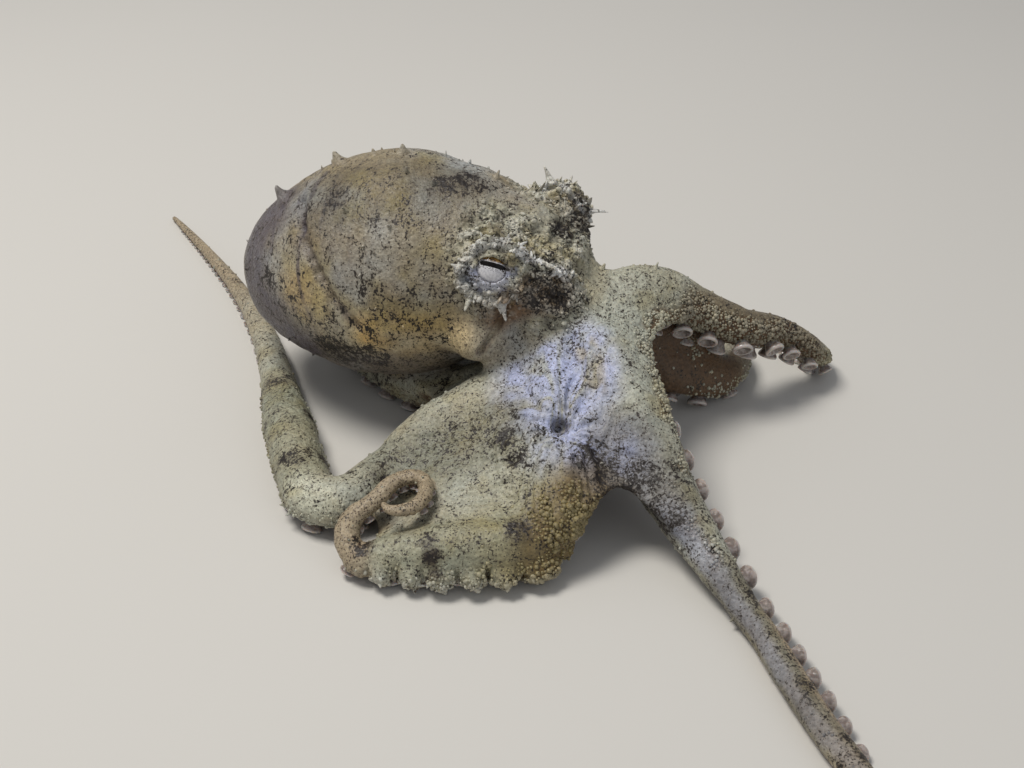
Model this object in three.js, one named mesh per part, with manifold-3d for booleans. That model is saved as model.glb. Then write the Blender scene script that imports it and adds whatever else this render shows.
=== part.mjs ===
// A small octopus resting on the sea floor with its head raised: a still, life-size model of one animal.
// Millimetres, +Z up. +X is to the animal's front left, and its right side faces -Y.
import * as THREE from "three";
import { mergeVertices } from "three/addons/utils/BufferGeometryUtils.js";
import Module from "manifold-3d";

const wasm = await Module();
wasm.setup();

// Gaps and rest
const GAP = 0.3; // between two neighbouring parts
const REST = 0.9; // height of a resting arm's axis, as a share of its radius: the rest is its flat
const WORLD_REACH = 400; // larger than the animal, for the block that trims its underside

// Faceting
const ARM_SIDES = 8;
const RING_STEP = 1.65; // least distance between two rings of an arm, to which its radius is added
const SUCKER_SIDES = 5;

// Suckers, as shares of the arm's radius, and how far each row is turned from the middle of the sucker side
const SUCKER = { rim: 0.4, root: 0.32, depth: 0.54, spacing: 1.2, spread: 26 };

// Mantle: an egg from the neck to the hind tip
const NECK = new THREE.Vector3(-1, 16.5, 21.4);
const HIND_TIP = new THREE.Vector3(-32, 27, 13.3);
const MANTLE_PROFILE = [
  [0, 8.6],
  [0.1, 10.9],
  [0.25, 13.3],
  [0.42, 14],
  [0.6, 13.2],
  [0.77, 11],
  [0.91, 8.2],
  [1, 4.6],
];
const MANTLE_SIDES = 16;
const MANTLE_RINGS = 12;
const LEAST_RADIUS = 0.2; // keeps the rings next to a turned shape's ends open
const MANTLE_NOSE = 2.2; // how far the round hind end stands past the tip's ring

// Head, eyes, funnel and the crown that the arms grow from
const HEAD_LOBES = [
  { at: [1, 14.6, 19], size: [7.5, 8.3, 8.4] },
  { at: [4.4, 13.4, 15.2], size: [7.8, 7.8, 7] },
];
const EYE_RIGHT = new THREE.Vector3(-1.1, 10.6, 24);
const EYE_LEFT = new THREE.Vector3(5.1, 21, 24.3);
const EYE_RADIUS = 2.7;
const EYE_TURRET = 4;
const EYE_STANDS_OUT = 1.9; // from the turret's centre to the eyeball's
const CROWN = { at: [7, 11, 10.5], radius: 6.4, depth: 5.4, tilt: 45 };
const MOUTH = { radius: 1.6, depth: 1.5 };
const HEADING = -31; // degrees from +X that the head faces
const FUNNEL = { root: [-1.2, 13, 16], tip: [-4, 7.2, 14.9], rootRadius: 3.4, tipRadius: 2.3, bore: 1.1 };

// Each arm leaves the crown on a heading, then bends: [length, turn in degrees] one after the other.
// heights and radii are [distance along the arm, value]; the arm rests on the floor where its height is 0.
// roll turns the sucker side away from straight down, and joints are where one length meets the next.
const ARMS = {
  arm_L1: {
    heading: 9,
    bends: [[8, 23], [11, -36], [7, 39], [6, -24], [6.5, 108], [11, 58], [10, -37], [14, 120]],
    heights: [
      [0, 10.5], [4, 15], [8, 17], [12, 15.7], [15, 13.6],
      [20.5, 11.3], [26.5, 9.2], [31, 6.6], [39, 0],
    ],
    radii: [[0, 4.4], [12, 4], [20, 3.1], [31, 2.4], [41, 1.7], [73, 0.5]],
    roll: 42,
    suckers: [11, 33],
    joints: [20, 39],
  },
  arm_R1: {
    heading: -57,
    bends: [[12, -11], [8, 3], [8, 2], [8, 1], [8, -11], [8, 0], [10, 8], [30, 55]],
    heights: [[0, 10.5], [6, 14], [12, 11.5], [20, 8], [28, 4.8], [36, 2.6], [44, 0]],
    radii: [[0, 4.4], [18, 3.9], [28, 2.9], [36, 2.05], [40, 1.8], [46, 1.8], [60, 1.7], [92, 0.5]],
    roll: -48,
    suckers: [10, 50],
    joints: [26, 48, 70],
  },
  arm_L2: {
    heading: 47,
    bends: [[12, -50], [11, 59], [10, 83], [12, 10], [10, -40], [10, 100], [10, 130]],
    heights: [[0, 10.5], [6, 11], [12, 6.5], [18, 3.9], [23, 0]],
    radii: [[0, 4.2], [12, 3.7], [24, 3.1], [36, 2.4], [48, 1.7], [75, 0.5]],
    roll: 0,
    joints: [20, 42],
  },
  arm_R2: {
    heading: -109,
    bends: [
      [12, 21], [8, 1], [9, -83], [11, -11], [5, 6], [6.5, -166], [3, 40],
      [3, -39], [3, -95], [3, -38], [3, -55], [2.5, -87],
    ],
    heights: [
      [0, 10.5], [6, 12], [19, 8], [24.5, 5], [31, 0], [42, 0],
      [47.5, 3], [51, 5.2], [55, 6.6], [59, 7.1], [70, 7.1],
    ],
    radii: [
      [0, 4.1], [14, 3.8], [25, 3.7], [36, 3.5], [43, 2.6],
      [47, 1.75], [52, 1.35], [60, 1.15], [66, 1], [69, 0.45],
    ],
    roll: 0,
    joints: [23, 42.5],
  },
  arm_R3: {
    heading: -133,
    bends: [[8, -28], [22, 35], [8, -127], [25, -3], [30, 15], [23, 4]],
    heights: [[0, 10.5], [7, 8.6], [16, 6], [22, 4.2], [29, 0]],
    radii: [[0, 4], [16, 3.7], [30, 3.3], [50, 3.3], [63, 2.3], [80, 1.7], [116, 0.5]],
    roll: 0,
    joints: [29, 56, 86],
  },
  arm_L3: {
    heading: 70,
    bends: [[12, 14], [13, 56], [14, -24], [11, -59], [9, -54], [7, -82], [6, -80]],
    heights: [[0, 10.5], [6, 8.6], [14, 4.5], [22, 0]],
    radii: [[0, 4], [14, 3.6], [26, 3], [40, 2.2], [54, 1.4], [72, 0.5]],
    roll: 0,
    joints: [20, 42],
  },
  arm_R4: {
    heading: 183,
    bends: [[16, -30], [18, -42], [24, -13], [15, -27], [12, -34], [12, -91]],
    heights: [[0, 10.5], [5, 6.2], [12, 4], [18, 0]],
    radii: [[0, 3.9], [14, 3.4], [30, 2.9], [50, 2.2], [74, 1.4], [97, 0.5]],
    roll: 0,
    joints: [24, 52],
  },
  arm_L4: {
    heading: 119,
    bends: [[11, -3], [12, 22], [25, -29], [14, -48], [9, -45], [8, -92], [6, -71]],
    heights: [[0, 10.5], [5, 6.2], [12, 4], [18, 0]],
    radii: [[0, 3.9], [14, 3.4], [28, 2.9], [46, 2.1], [64, 1.3], [85, 0.5]],
    roll: 0,
    joints: [24, 50],
  },
};
const LENGTH_NAMES = ["base", "middle", "outer", "tip"];

// Web between two neighbouring arms: how far along each it reaches, how deep its free edge is cut, how far
// its middle stands above the line between the arms, and how far its free edge dips below it.
const WEBS = {
  web_R1_L1: { arms: ["arm_R1", "arm_L1"], reach: [24, 16], notch: 0.5, lift: 0, dip: 0 },
  web_R1_R2: { arms: ["arm_R1", "arm_R2"], reach: [33, 29], notch: 0.32, lift: 0, dip: 0 },
  web_R2_R3: { arms: ["arm_R2", "arm_R3"], reach: [45, 31], notch: 0.08, lift: 1.5, dip: 2.5 },
  web_R3_R4: { arms: ["arm_R3", "arm_R4"], reach: [26, 22], notch: 0.35, lift: 0, dip: 0 },
  web_R4_L4: { arms: ["arm_R4", "arm_L4"], reach: [22, 22], notch: 0.35, lift: 0, dip: 0 },
  web_L4_L3: { arms: ["arm_L4", "arm_L3"], reach: [21, 21], notch: 0.35, lift: 0, dip: 0 },
  web_L3_L2: { arms: ["arm_L3", "arm_L2"], reach: [21, 20], notch: 0.35, lift: 0, dip: 0 },
  web_L2_L1: { arms: ["arm_L2", "arm_L1"], reach: [20, 21], notch: 0.35, lift: 0, dip: 0 },
};
const WEB_THICKNESS = 1.3;
const WEB_START = 5;
const WEB_HEIGHT = 0.5; // where it meets an arm above the axis, as a share of the radius
const WEB_ACROSS = 6;
const WEB_ALONG = 5;

// Warty points: where each stands, which way it leans, its height and its root's radius
const WART_SIDES = 5;
const WART_ROOT = 0.92; // how deep it is rooted in an eye's turret, as a share of that radius
const MANTLE_WARTS = [
  { along: 0.82, angle: 74, height: 3, radius: 1.5 },
  { along: 0.54, angle: 90, height: 2.2, radius: 1.2 },
  { along: 0.34, angle: 98, height: 2.2, radius: 1.2 },
  { along: 0.12, angle: 76, height: 2, radius: 1.1 },
  { along: 0.5, angle: 20, height: 1.5, radius: 1.1 },
  { along: 0.3, angle: 160, height: 1.5, radius: 1.1 },
];
const EYE_HORNS = [
  { eye: EYE_LEFT, lean: [0.1, -0.2, 1], height: 3.4, radius: 1.3 },
  { eye: EYE_LEFT, lean: [1, -0.3, 0.25], height: 3.4, radius: 1.2 },
  { eye: EYE_LEFT, lean: [-0.7, 0.1, 0.9], height: 2, radius: 1.2 },
  { eye: EYE_RIGHT, lean: [-0.5, 0.3, 1], height: 2, radius: 1.3 },
  { eye: EYE_RIGHT, lean: [0.6, 0.1, 0.9], height: 1.8, radius: 1.2 },
];

// Materials
const SKIN = { color: 0xb3ad96, roughness: 0.62 };
const EYE = { color: 0x3a2a18, roughness: 0.12 };
const WEB_SKIN = { color: 0xb0adb0, roughness: 0.6 };

function material({ color, roughness }) {
  return new THREE.MeshStandardMaterial({ color, roughness, metalness: 0 });
}

// The closed solid of a three.js geometry.
function solid(geometry) {
  const bare = geometry.index ? geometry.toNonIndexed() : geometry.clone();
  bare.deleteAttribute("normal");
  bare.deleteAttribute("uv");
  const merged = mergeVertices(bare, 1e-4);
  const mesh = new wasm.Mesh({
    numProp: 3,
    vertProperties: merged.attributes.position.array,
    triVerts: new Uint32Array(merged.index.array),
  });
  return new wasm.Manifold(mesh);
}

// The largest body of a solid, as a named mesh.
function part(name, whole, look) {
  const bodies = whole.decompose().sort((a, b) => b.volume() - a.volume());
  const mesh = bodies[0].getMesh();
  const geometry = new THREE.BufferGeometry();
  geometry.setAttribute("position", new THREE.BufferAttribute(mesh.vertProperties, 3));
  geometry.setIndex(new THREE.BufferAttribute(mesh.triVerts, 1));
  geometry.computeVertexNormals();
  const made = new THREE.Mesh(geometry, material(look));
  made.name = name;
  return made;
}

// The value at x of a table of [x, value], straight between its rows.
function table(rows, x) {
  const next = rows.findIndex((row) => row[0] >= x);
  if (next === 0) return rows[0][1];
  if (next < 0) return rows[rows.length - 1][1];
  const [from, to] = [rows[next - 1], rows[next]];
  return THREE.MathUtils.mapLinear(x, from[0], to[0], from[1], to[1]);
}

function lobe({ at, size }) {
  return new THREE.SphereGeometry(1, 12, 8).scale(...size).translate(...at);
}

function ball(centre, radius) {
  return new THREE.SphereGeometry(radius, 10, 7).translate(centre.x, centre.y, centre.z);
}

// Turns and moves a geometry built along +Y so that it points along a direction from a root.
function aim(geometry, root, direction) {
  const turn = new THREE.Quaternion().setFromUnitVectors(
    new THREE.Vector3(0, 1, 0),
    direction.clone().normalize(),
  );
  return geometry.applyQuaternion(turn).translate(root.x, root.y, root.z);
}

// Arms

function armLength(arm) {
  return arm.bends.reduce((sum, bend) => sum + bend[0], 0);
}

// The arm's axis as a curve: its bends laid end to end on the floor plan, raised by its heights.
function armCurve(arm) {
  const points = [];
  const at = new THREE.Vector2(CROWN.at[0], CROWN.at[1]);
  let heading = THREE.MathUtils.degToRad(arm.heading);
  let distance = 0;
  const mark = () => {
    const rest = REST * table(arm.radii, distance);
    points.push(new THREE.Vector3(at.x, at.y, Math.max(rest, table(arm.heights, distance))));
  };
  mark();
  for (const [length, turn] of arm.bends) {
    const steps = Math.ceil(length / 2);
    const step = length / steps;
    const bend = THREE.MathUtils.degToRad(turn) / steps;
    for (let i = 0; i < steps; i++) {
      heading += bend / 2;
      at.add(new THREE.Vector2(step * Math.cos(heading), step * Math.sin(heading)));
      heading += bend / 2;
      distance += step;
      mark();
    }
  }
  return { curve: new THREE.CatmullRomCurve3(points), scale: 1 / (points.length - 1) };
}

// Where the arm is at a distance along its plan: the axis point, its run, and its side and upper directions.
function station(arm, distance) {
  const share = THREE.MathUtils.clamp(distance / armLength(arm), 0, 1);
  const t = planShare(arm, share);
  const point = arm.path.curve.getPoint(t);
  const run = arm.path.curve.getTangent(t);
  const side = new THREE.Vector3().crossVectors(run, new THREE.Vector3(0, 0, 1)).normalize();
  const up = new THREE.Vector3().crossVectors(side, run).normalize();
  return { point, run, side, up, radius: table(arm.radii, distance) };
}

// The curve's parameter at a share of the plan length: its points are one step apart within each bend.
function planShare(arm, share) {
  const target = share * armLength(arm);
  let walked = 0;
  let passed = 0;
  for (const [length] of arm.bends) {
    const steps = Math.ceil(length / 2);
    if (target <= walked + length) return (passed + (steps * (target - walked)) / length) * arm.path.scale;
    walked += length;
    passed += steps;
  }
  return 1;
}

// The places of a length's rings, closer together where the arm is thin.
function ringDistances(arm, from, to) {
  const places = [from];
  while (places[places.length - 1] < to) {
    const last = places[places.length - 1];
    places.push(last + RING_STEP + table(arm.radii, last));
  }
  const stretch = (to - from) / (places[places.length - 1] - from);
  return places.map((place) => from + (place - from) * stretch);
}

// A closed length of arm from one distance to another, grown outwards by a margin. One of its flat sides is
// its lowest, and lies on the floor where the arm rests.
function limb(arm, from, to, margin) {
  const places = ringDistances(arm, from, to);
  if (margin > 0) places.push(to + margin);
  if (margin > 0) places.unshift(from - margin);
  const ring = (place) => new THREE.Vector2(table(arm.radii, place) + margin, place);
  const profile = places.map(ring);
  profile.unshift(new THREE.Vector2(0, profile[0].y));
  profile.push(new THREE.Vector2(0, profile[profile.length - 1].y));
  const geometry = new THREE.LatheGeometry(profile, ARM_SIDES, Math.PI / ARM_SIDES);
  const position = geometry.attributes.position;
  for (let i = 0; i < position.count; i++) {
    const { point, side, up } = station(arm, position.getY(i));
    point.addScaledVector(side, position.getX(i)).addScaledVector(up, position.getZ(i));
    position.setXYZ(i, point.x, point.y, Math.max(point.z, 0));
  }
  return solid(geometry);
}

// The cups on the sucker side of an arm between two distances, in two staggered rows.
function suckers(arm, from, to, margin) {
  const cups = [];
  let distance = from;
  let row = 1;
  while (distance < to) {
    const { point, run, side, up, radius } = station(arm, distance);
    const roll = THREE.MathUtils.degToRad(arm.roll + row * SUCKER.spread);
    const out = up.clone().multiplyScalar(-Math.cos(roll)).addScaledVector(side, Math.sin(roll));
    const rim = radius * SUCKER.rim + margin;
    const root = radius * SUCKER.root + margin;
    const cup = new THREE.CylinderGeometry(rim, root, radius * SUCKER.depth + 2 * margin, SUCKER_SIDES);
    cups.push(solid(aim(cup, point.addScaledVector(out, radius), out)));
    distance += radius * SUCKER.spacing;
    row = -row;
  }
  return cups;
}

// Webs

// Where a web meets an arm, a little above its axis.
function webRoot(arm, distance) {
  const { point, up, radius } = station(arm, distance);
  return point.addScaledVector(up, WEB_HEIGHT * radius);
}

// A closed slab between two arms, its free edge cut in a crescent.
function web({ arms, reach, notch, lift, dip }) {
  const [first, second] = arms.map((name) => ARMS[name]);
  const grid = [];
  for (let i = 0; i <= WEB_ALONG; i++) {
    for (let j = 0; j <= WEB_ACROSS; j++) {
      const across = j / WEB_ACROSS;
      const arch = Math.sin(Math.PI * across);
      const along = (i / WEB_ALONG) * (1 - notch * arch);
      const a = webRoot(first, THREE.MathUtils.lerp(WEB_START, reach[0], along));
      const b = webRoot(second, THREE.MathUtils.lerp(WEB_START, reach[1], along));
      const point = a.lerp(b, across);
      point.z += arch * (lift * Math.sin(Math.PI * along) - dip * along ** 3);
      grid.push(point);
    }
  }
  return solid(slab(grid, WEB_ACROSS + 1, WEB_ALONG + 1, WEB_THICKNESS));
}

// Thickens a grid of points both ways along its normals and closes its rim.
function slab(grid, columns, rows, thickness) {
  const sheet = new THREE.PlaneGeometry(1, 1, columns - 1, rows - 1);
  const normals = sheet.clone().setFromPoints(grid);
  normals.computeVertexNormals();
  const face = (sign) =>
    grid.map((point, i) => {
      const normal = new THREE.Vector3().fromBufferAttribute(normals.attributes.normal, i);
      return point.clone().addScaledVector(normal, sign * 0.5 * thickness);
    });
  const count = grid.length;
  const index = [];
  const flat = sheet.index.array;
  for (let i = 0; i < flat.length; i += 3) {
    index.push(flat[i], flat[i + 1], flat[i + 2]);
    index.push(count + flat[i], count + flat[i + 2], count + flat[i + 1]);
  }
  const rim = rimLoop(columns, rows);
  rim.forEach((a, i) => {
    const b = rim[(i + 1) % rim.length];
    index.push(b, a, count + a, b, count + a, count + b);
  });
  const geometry = new THREE.BufferGeometry().setFromPoints([...face(1), ...face(-1)]);
  geometry.setIndex(index);
  return geometry;
}

// The rim of a grid of points, in the turning direction of a plane's faces.
function rimLoop(columns, rows) {
  const loop = [];
  for (let i = 0; i < rows - 1; i++) loop.push(i * columns);
  for (let j = 0; j < columns - 1; j++) loop.push((rows - 1) * columns + j);
  for (let i = rows - 1; i > 0; i--) loop.push(i * columns + columns - 1);
  for (let j = columns - 1; j > 0; j--) loop.push(j);
  return loop;
}

// Body

function mantleProfile(margin) {
  const length = NECK.distanceTo(HIND_TIP);
  const profile = [new THREE.Vector2(0, -margin)];
  for (const [share, radius] of MANTLE_PROFILE) {
    profile.push(new THREE.Vector2(radius + margin, share * length));
  }
  profile.push(new THREE.Vector2(0, length + MANTLE_NOSE + margin));
  const rings = new THREE.SplineCurve(profile).getPoints(MANTLE_RINGS);
  for (const ring of rings.slice(1, -1)) ring.x = Math.max(ring.x, LEAST_RADIUS);
  return rings;
}

function mantleShape(margin) {
  const geometry = new THREE.LatheGeometry(mantleProfile(margin), MANTLE_SIDES);
  return solid(aim(geometry, NECK, HIND_TIP.clone().sub(NECK)));
}

// A cone with a round root that stands on a surface.
function wart(root, direction, height, radius) {
  const profile = [
    new THREE.Vector2(0, -radius),
    new THREE.Vector2(radius * 1.1, -radius * 0.6),
    new THREE.Vector2(radius * 0.75, height * 0.25),
    new THREE.Vector2(radius * 0.35, height * 0.7),
    new THREE.Vector2(0, height),
  ];
  return solid(aim(new THREE.LatheGeometry(profile, WART_SIDES), root, direction));
}

function mantle() {
  const axis = HIND_TIP.clone().sub(NECK);
  const run = axis.clone().normalize();
  const side = new THREE.Vector3().crossVectors(run, new THREE.Vector3(0, 0, 1)).normalize();
  const up = new THREE.Vector3().crossVectors(side, run).normalize();
  let whole = mantleShape(0);
  for (const { along, angle, height, radius } of MANTLE_WARTS) {
    const turn = THREE.MathUtils.degToRad(angle);
    const out = side.clone().multiplyScalar(-Math.cos(turn)).addScaledVector(up, Math.sin(turn));
    const girth = table(MANTLE_PROFILE, along);
    const root = NECK.clone().addScaledVector(axis, along).addScaledVector(out, girth);
    whole = whole.add(wart(root, out, height, radius));
  }
  return whole;
}

// The direction an eye looks: level, straight out from the head's midline.
function gaze(eye) {
  const middle = EYE_LEFT.clone().add(EYE_RIGHT).multiplyScalar(0.5);
  return eye.clone().sub(middle).setZ(0).normalize();
}

function eyeball(eye, margin) {
  return solid(ball(eye.clone().addScaledVector(gaze(eye), EYE_STANDS_OUT), EYE_RADIUS + margin));
}

function headShape(margin) {
  const grow = (size) => size.map((side) => side + margin);
  let whole = wasm.Manifold.union(HEAD_LOBES.map(({ at, size }) => solid(lobe({ at, size: grow(size) }))));
  for (const eye of [EYE_RIGHT, EYE_LEFT]) whole = whole.add(solid(ball(eye, EYE_TURRET + margin)));
  return whole;
}

function head() {
  let whole = headShape(0);
  for (const { eye, lean, height, radius } of EYE_HORNS) {
    const out = new THREE.Vector3(...lean).normalize();
    const root = eye.clone().addScaledVector(out, EYE_TURRET * WART_ROOT);
    whole = whole.add(wart(root, out, height, radius));
  }
  return whole;
}

// The squat body at the roots of the arms, with the mouth in its lower face.
function crown(margin) {
  const tilt = THREE.MathUtils.degToRad(CROWN.tilt);
  const heading = THREE.MathUtils.degToRad(HEADING);
  const down = new THREE.Vector3(
    Math.cos(heading) * Math.cos(tilt),
    Math.sin(heading) * Math.cos(tilt),
    -Math.sin(tilt),
  );
  const radius = CROWN.radius + margin;
  const depth = CROWN.depth + margin;
  const profile = [new THREE.Vector2(0, -depth)];
  for (const share of [-0.7, -0.3, 0, 0.3, 0.7]) {
    profile.push(new THREE.Vector2(radius * Math.cos(Math.asin(share)), depth * share));
  }
  if (margin > 0) profile.push(new THREE.Vector2(0, depth));
  else {
    profile.push(new THREE.Vector2(MOUTH.radius, depth));
    profile.push(new THREE.Vector2(0, depth - MOUTH.depth));
  }
  return solid(aim(new THREE.LatheGeometry(profile, 12), new THREE.Vector3(...CROWN.at), down));
}

function funnel(margin) {
  const root = new THREE.Vector3(...FUNNEL.root);
  const run = new THREE.Vector3(...FUNNEL.tip).sub(root);
  const length = run.length() + margin;
  const profile = [
    new THREE.Vector2(0, -margin),
    new THREE.Vector2(FUNNEL.rootRadius + margin, -margin),
    new THREE.Vector2(FUNNEL.rootRadius * 0.97 + margin, length * 0.55),
    new THREE.Vector2(FUNNEL.tipRadius + margin, length),
  ];
  if (margin === 0) {
    profile.push(new THREE.Vector2(FUNNEL.bore, length));
    profile.push(new THREE.Vector2(FUNNEL.bore * 0.7, length * 0.6));
    profile.push(new THREE.Vector2(0, length * 0.55));
  } else profile.push(new THREE.Vector2(0, length));
  return solid(aim(new THREE.LatheGeometry(profile, 10), root, run));
}

// The block below the floor.
function ground() {
  const block = new THREE.BoxGeometry(WORLD_REACH, WORLD_REACH, WORLD_REACH);
  return solid(block.translate(0, 0, -WORLD_REACH / 2));
}

// Assembly: each part in turn gives way, with a gap, to those made before it.

const made = [];
const taken = [];
const floorBlock = ground();

function place(name, whole, look) {
  let kept = whole;
  for (const other of taken) kept = kept.subtract(other);
  if (kept.boundingBox().min[2] < 0) kept = kept.subtract(floorBlock);
  made.push(part(name, kept, look));
}

function placeBody() {
  for (const [name, eye] of [["eye_right", EYE_RIGHT], ["eye_left", EYE_LEFT]]) {
    place(name, eyeball(eye, 0), EYE);
    taken.push(eyeball(eye, GAP));
  }
  place("mantle", mantle(), SKIN);
  taken.push(mantleShape(GAP));
  place("head", head(), SKIN);
  taken.push(headShape(GAP));
  place("funnel", funnel(0), WEB_SKIN);
  taken.push(funnel(GAP));
  place("crown", crown(0), SKIN);
  taken.push(crown(GAP));
}

function placeArm(name, arm) {
  const ends = [2, ...arm.joints, armLength(arm)];
  const grown = [];
  for (let i = 0; i < ends.length - 1; i++) {
    const from = ends[i] + GAP / 2;
    const to = ends[i + 1] - GAP / 2;
    let whole = limb(arm, from, to, 0);
    grown.push(limb(arm, from, to, GAP));
    if (arm.suckers) {
      const first = Math.max(from + 1, arm.suckers[0]);
      const last = Math.min(to - 1, arm.suckers[1]);
      for (const cup of suckers(arm, first, last, 0)) whole = whole.add(cup);
      grown.push(...suckers(arm, first, last, GAP));
    }
    place(name + "_" + LENGTH_NAMES[i], whole, SKIN);
  }
  taken.push(...grown);
}

for (const arm of Object.values(ARMS)) arm.path = armCurve(arm);
placeBody();
for (const [name, arm] of Object.entries(ARMS)) placeArm(name, arm);
for (const [name, shape] of Object.entries(WEBS)) {
  const whole = web(shape);
  place(name, whole, WEB_SKIN);
}

const group = new THREE.Group();
group.name = "octopus";
for (const mesh of made) group.add(mesh);
const box = new THREE.Box3().setFromObject(group);
const centre = box.getCenter(new THREE.Vector3());
group.position.set(-centre.x, -centre.y, -box.min.z);

export default group;
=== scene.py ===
"""A small octopus with its head raised, its right front arm reaching out and the next one coiled.

One skin is grown around the frame's arms, webs, mantle and head as a field of distances, then meshed.
Suckers, granules, papillae and eyes are separate pieces on it.
Lengths are in millimetres until a mesh is made.
"""

import math

import bpy
import numpy as np
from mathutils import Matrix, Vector
from mathutils.kdtree import KDTree


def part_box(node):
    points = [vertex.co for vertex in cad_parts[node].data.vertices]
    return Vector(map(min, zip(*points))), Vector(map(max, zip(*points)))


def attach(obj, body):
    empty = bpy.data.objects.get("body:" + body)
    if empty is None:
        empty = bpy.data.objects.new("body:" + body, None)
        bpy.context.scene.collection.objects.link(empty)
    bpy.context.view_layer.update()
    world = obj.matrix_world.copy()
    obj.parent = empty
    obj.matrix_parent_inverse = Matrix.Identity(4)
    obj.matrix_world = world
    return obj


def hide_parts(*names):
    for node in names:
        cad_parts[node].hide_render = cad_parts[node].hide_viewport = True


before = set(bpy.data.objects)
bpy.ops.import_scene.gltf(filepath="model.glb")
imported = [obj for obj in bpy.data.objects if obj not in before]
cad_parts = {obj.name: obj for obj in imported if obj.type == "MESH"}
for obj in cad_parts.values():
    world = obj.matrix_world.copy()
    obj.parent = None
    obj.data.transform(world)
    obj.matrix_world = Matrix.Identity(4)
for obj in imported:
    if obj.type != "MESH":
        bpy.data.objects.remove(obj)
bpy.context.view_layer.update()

MM = 0.001
SEED = 7
FAR = 9.0  # distance given to grid points that no shape has reached

# Body, as in the solids
NECK = np.array([-1, 16.5, 21.4])
HIND_TIP = np.array([-32, 27, 13.3])
MANTLE_PROFILE = [
    (0, 8.6), (0.1, 10.9), (0.25, 13.3), (0.42, 14), (0.6, 13.2), (0.77, 11), (0.91, 8.2), (1, 4.6),
]
MANTLE_NOSE = 2.2
HEAD_LOBES = [((1, 14.6, 19), (7.5, 8.3, 8.4)), ((4.4, 13.4, 15.2), (7.8, 7.8, 7))]
EYE_RIGHT = np.array([-1.1, 10.6, 24])
EYE_LEFT = np.array([5.1, 21, 24.3])
EYE_RADIUS = 2.7
EYE_TURRET = 4
EYE_STANDS_OUT = 1.9
CROWN = np.array([7, 11, 10.5])
CROWN_RADIUS = 5.6
FUNNEL = {"root": (-1.2, 13, 16), "tip": (-4, 7.2, 14.9), "root_radius": 3.4, "tip_radius": 2.3}

# Arms, as in the solids: bends are (length, turn in degrees), heights and radii (distance, value)
REST = 0.9
AXIS_STEP = 0.25
BEND_SMOOTHING = 13  # steps over which the heights are smoothed
ARMS = {
    "arm_L1": {
        "heading": 9,
        "bends": [(8, 23), (11, -36), (7, 39), (6, -24), (6.5, 108), (11, 58), (10, -37), (14, 120)],
        "heights": [
            (0, 10.5), (4, 15), (8, 17), (12, 15.7), (15, 13.6),
            (20.5, 11.3), (26.5, 9.2), (31, 6.6), (39, 0),
        ],
        "radii": [(0, 4.4), (12, 4), (20, 3.1), (31, 2.4), (41, 1.7), (73, 0.5)],
        "roll": 42,
        "roll_ends": (29, 40),
    },
    "arm_R1": {
        "heading": -57,
        "bends": [(12, -11), (8, 3), (8, 2), (8, 1), (8, -11), (8, 0), (10, 8), (30, 55)],
        "heights": [(0, 10.5), (6, 14), (12, 11.5), (20, 8), (28, 4.8), (36, 2.6), (44, 0)],
        "radii": [(0, 4.4), (18, 3.9), (28, 2.9), (36, 2.05), (40, 1.8), (46, 1.8), (60, 1.7), (92, 0.5)],
        "roll": -48,
        "roll_ends": (52, 68),
    },
    "arm_L2": {
        "heading": 47,
        "bends": [(12, -50), (11, 59), (10, 83), (12, 10), (10, -40), (10, 100), (10, 130)],
        "heights": [(0, 10.5), (6, 11), (12, 6.5), (18, 3.9), (23, 0)],
        "radii": [(0, 4.2), (12, 3.7), (24, 3.1), (36, 2.4), (48, 1.7), (75, 0.5)],
    },
    "arm_R2": {
        "heading": -109,
        "bends": [
            (12, 21), (8, 1), (9, -83), (11, -11), (5, 6), (6.5, -166), (3, 40), (3, -39), (3, -95), (3, -38),
            (3, -55), (2.5, -87),
        ],
        "heights": [
            (0, 10.5), (6, 12), (19, 8), (24.5, 5), (31, 0), (42, 0), (47.5, 3), (51, 5.2), (55, 6.6),
            (59, 7.1), (70, 7.1),
        ],
        "radii": [
            (0, 4.1), (14, 3.8), (25, 3.7), (36, 3.5), (43, 2.6), (47, 1.75), (52, 1.35), (60, 1.15), (66, 1),
            (69, 0.45),
        ],
    },
    "arm_R3": {
        "heading": -133,
        "bends": [(8, -28), (22, 35), (8, -127), (25, -3), (30, 15), (23, 4)],
        "heights": [(0, 10.5), (7, 8.6), (16, 6), (22, 4.2), (29, 0)],
        "radii": [(0, 4), (16, 3.7), (30, 3.3), (50, 3.3), (63, 2.3), (80, 1.7), (116, 0.5)],
    },
    "arm_L3": {
        "heading": 70,
        "bends": [(12, 14), (13, 56), (14, -24), (11, -59), (9, -54), (7, -82), (6, -80)],
        "heights": [(0, 10.5), (6, 8.6), (14, 4.5), (22, 0)],
        "radii": [(0, 4), (14, 3.6), (26, 3), (40, 2.2), (54, 1.4), (72, 0.5)],
    },
    "arm_R4": {
        "heading": 183,
        "bends": [(16, -30), (18, -42), (24, -13), (15, -27), (12, -34), (12, -91)],
        "heights": [(0, 10.5), (5, 6.2), (12, 4), (18, 0)],
        "radii": [(0, 3.9), (14, 3.4), (30, 2.9), (50, 2.2), (74, 1.4), (97, 0.5)],
    },
    "arm_L4": {
        "heading": 119,
        "bends": [(11, -3), (12, 22), (25, -29), (14, -48), (9, -45), (8, -92), (6, -71)],
        "heights": [(0, 10.5), (5, 6.2), (12, 4), (18, 0)],
        "radii": [(0, 3.9), (14, 3.4), (28, 2.9), (46, 2.1), (64, 1.3), (85, 0.5)],
    },
}
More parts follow.
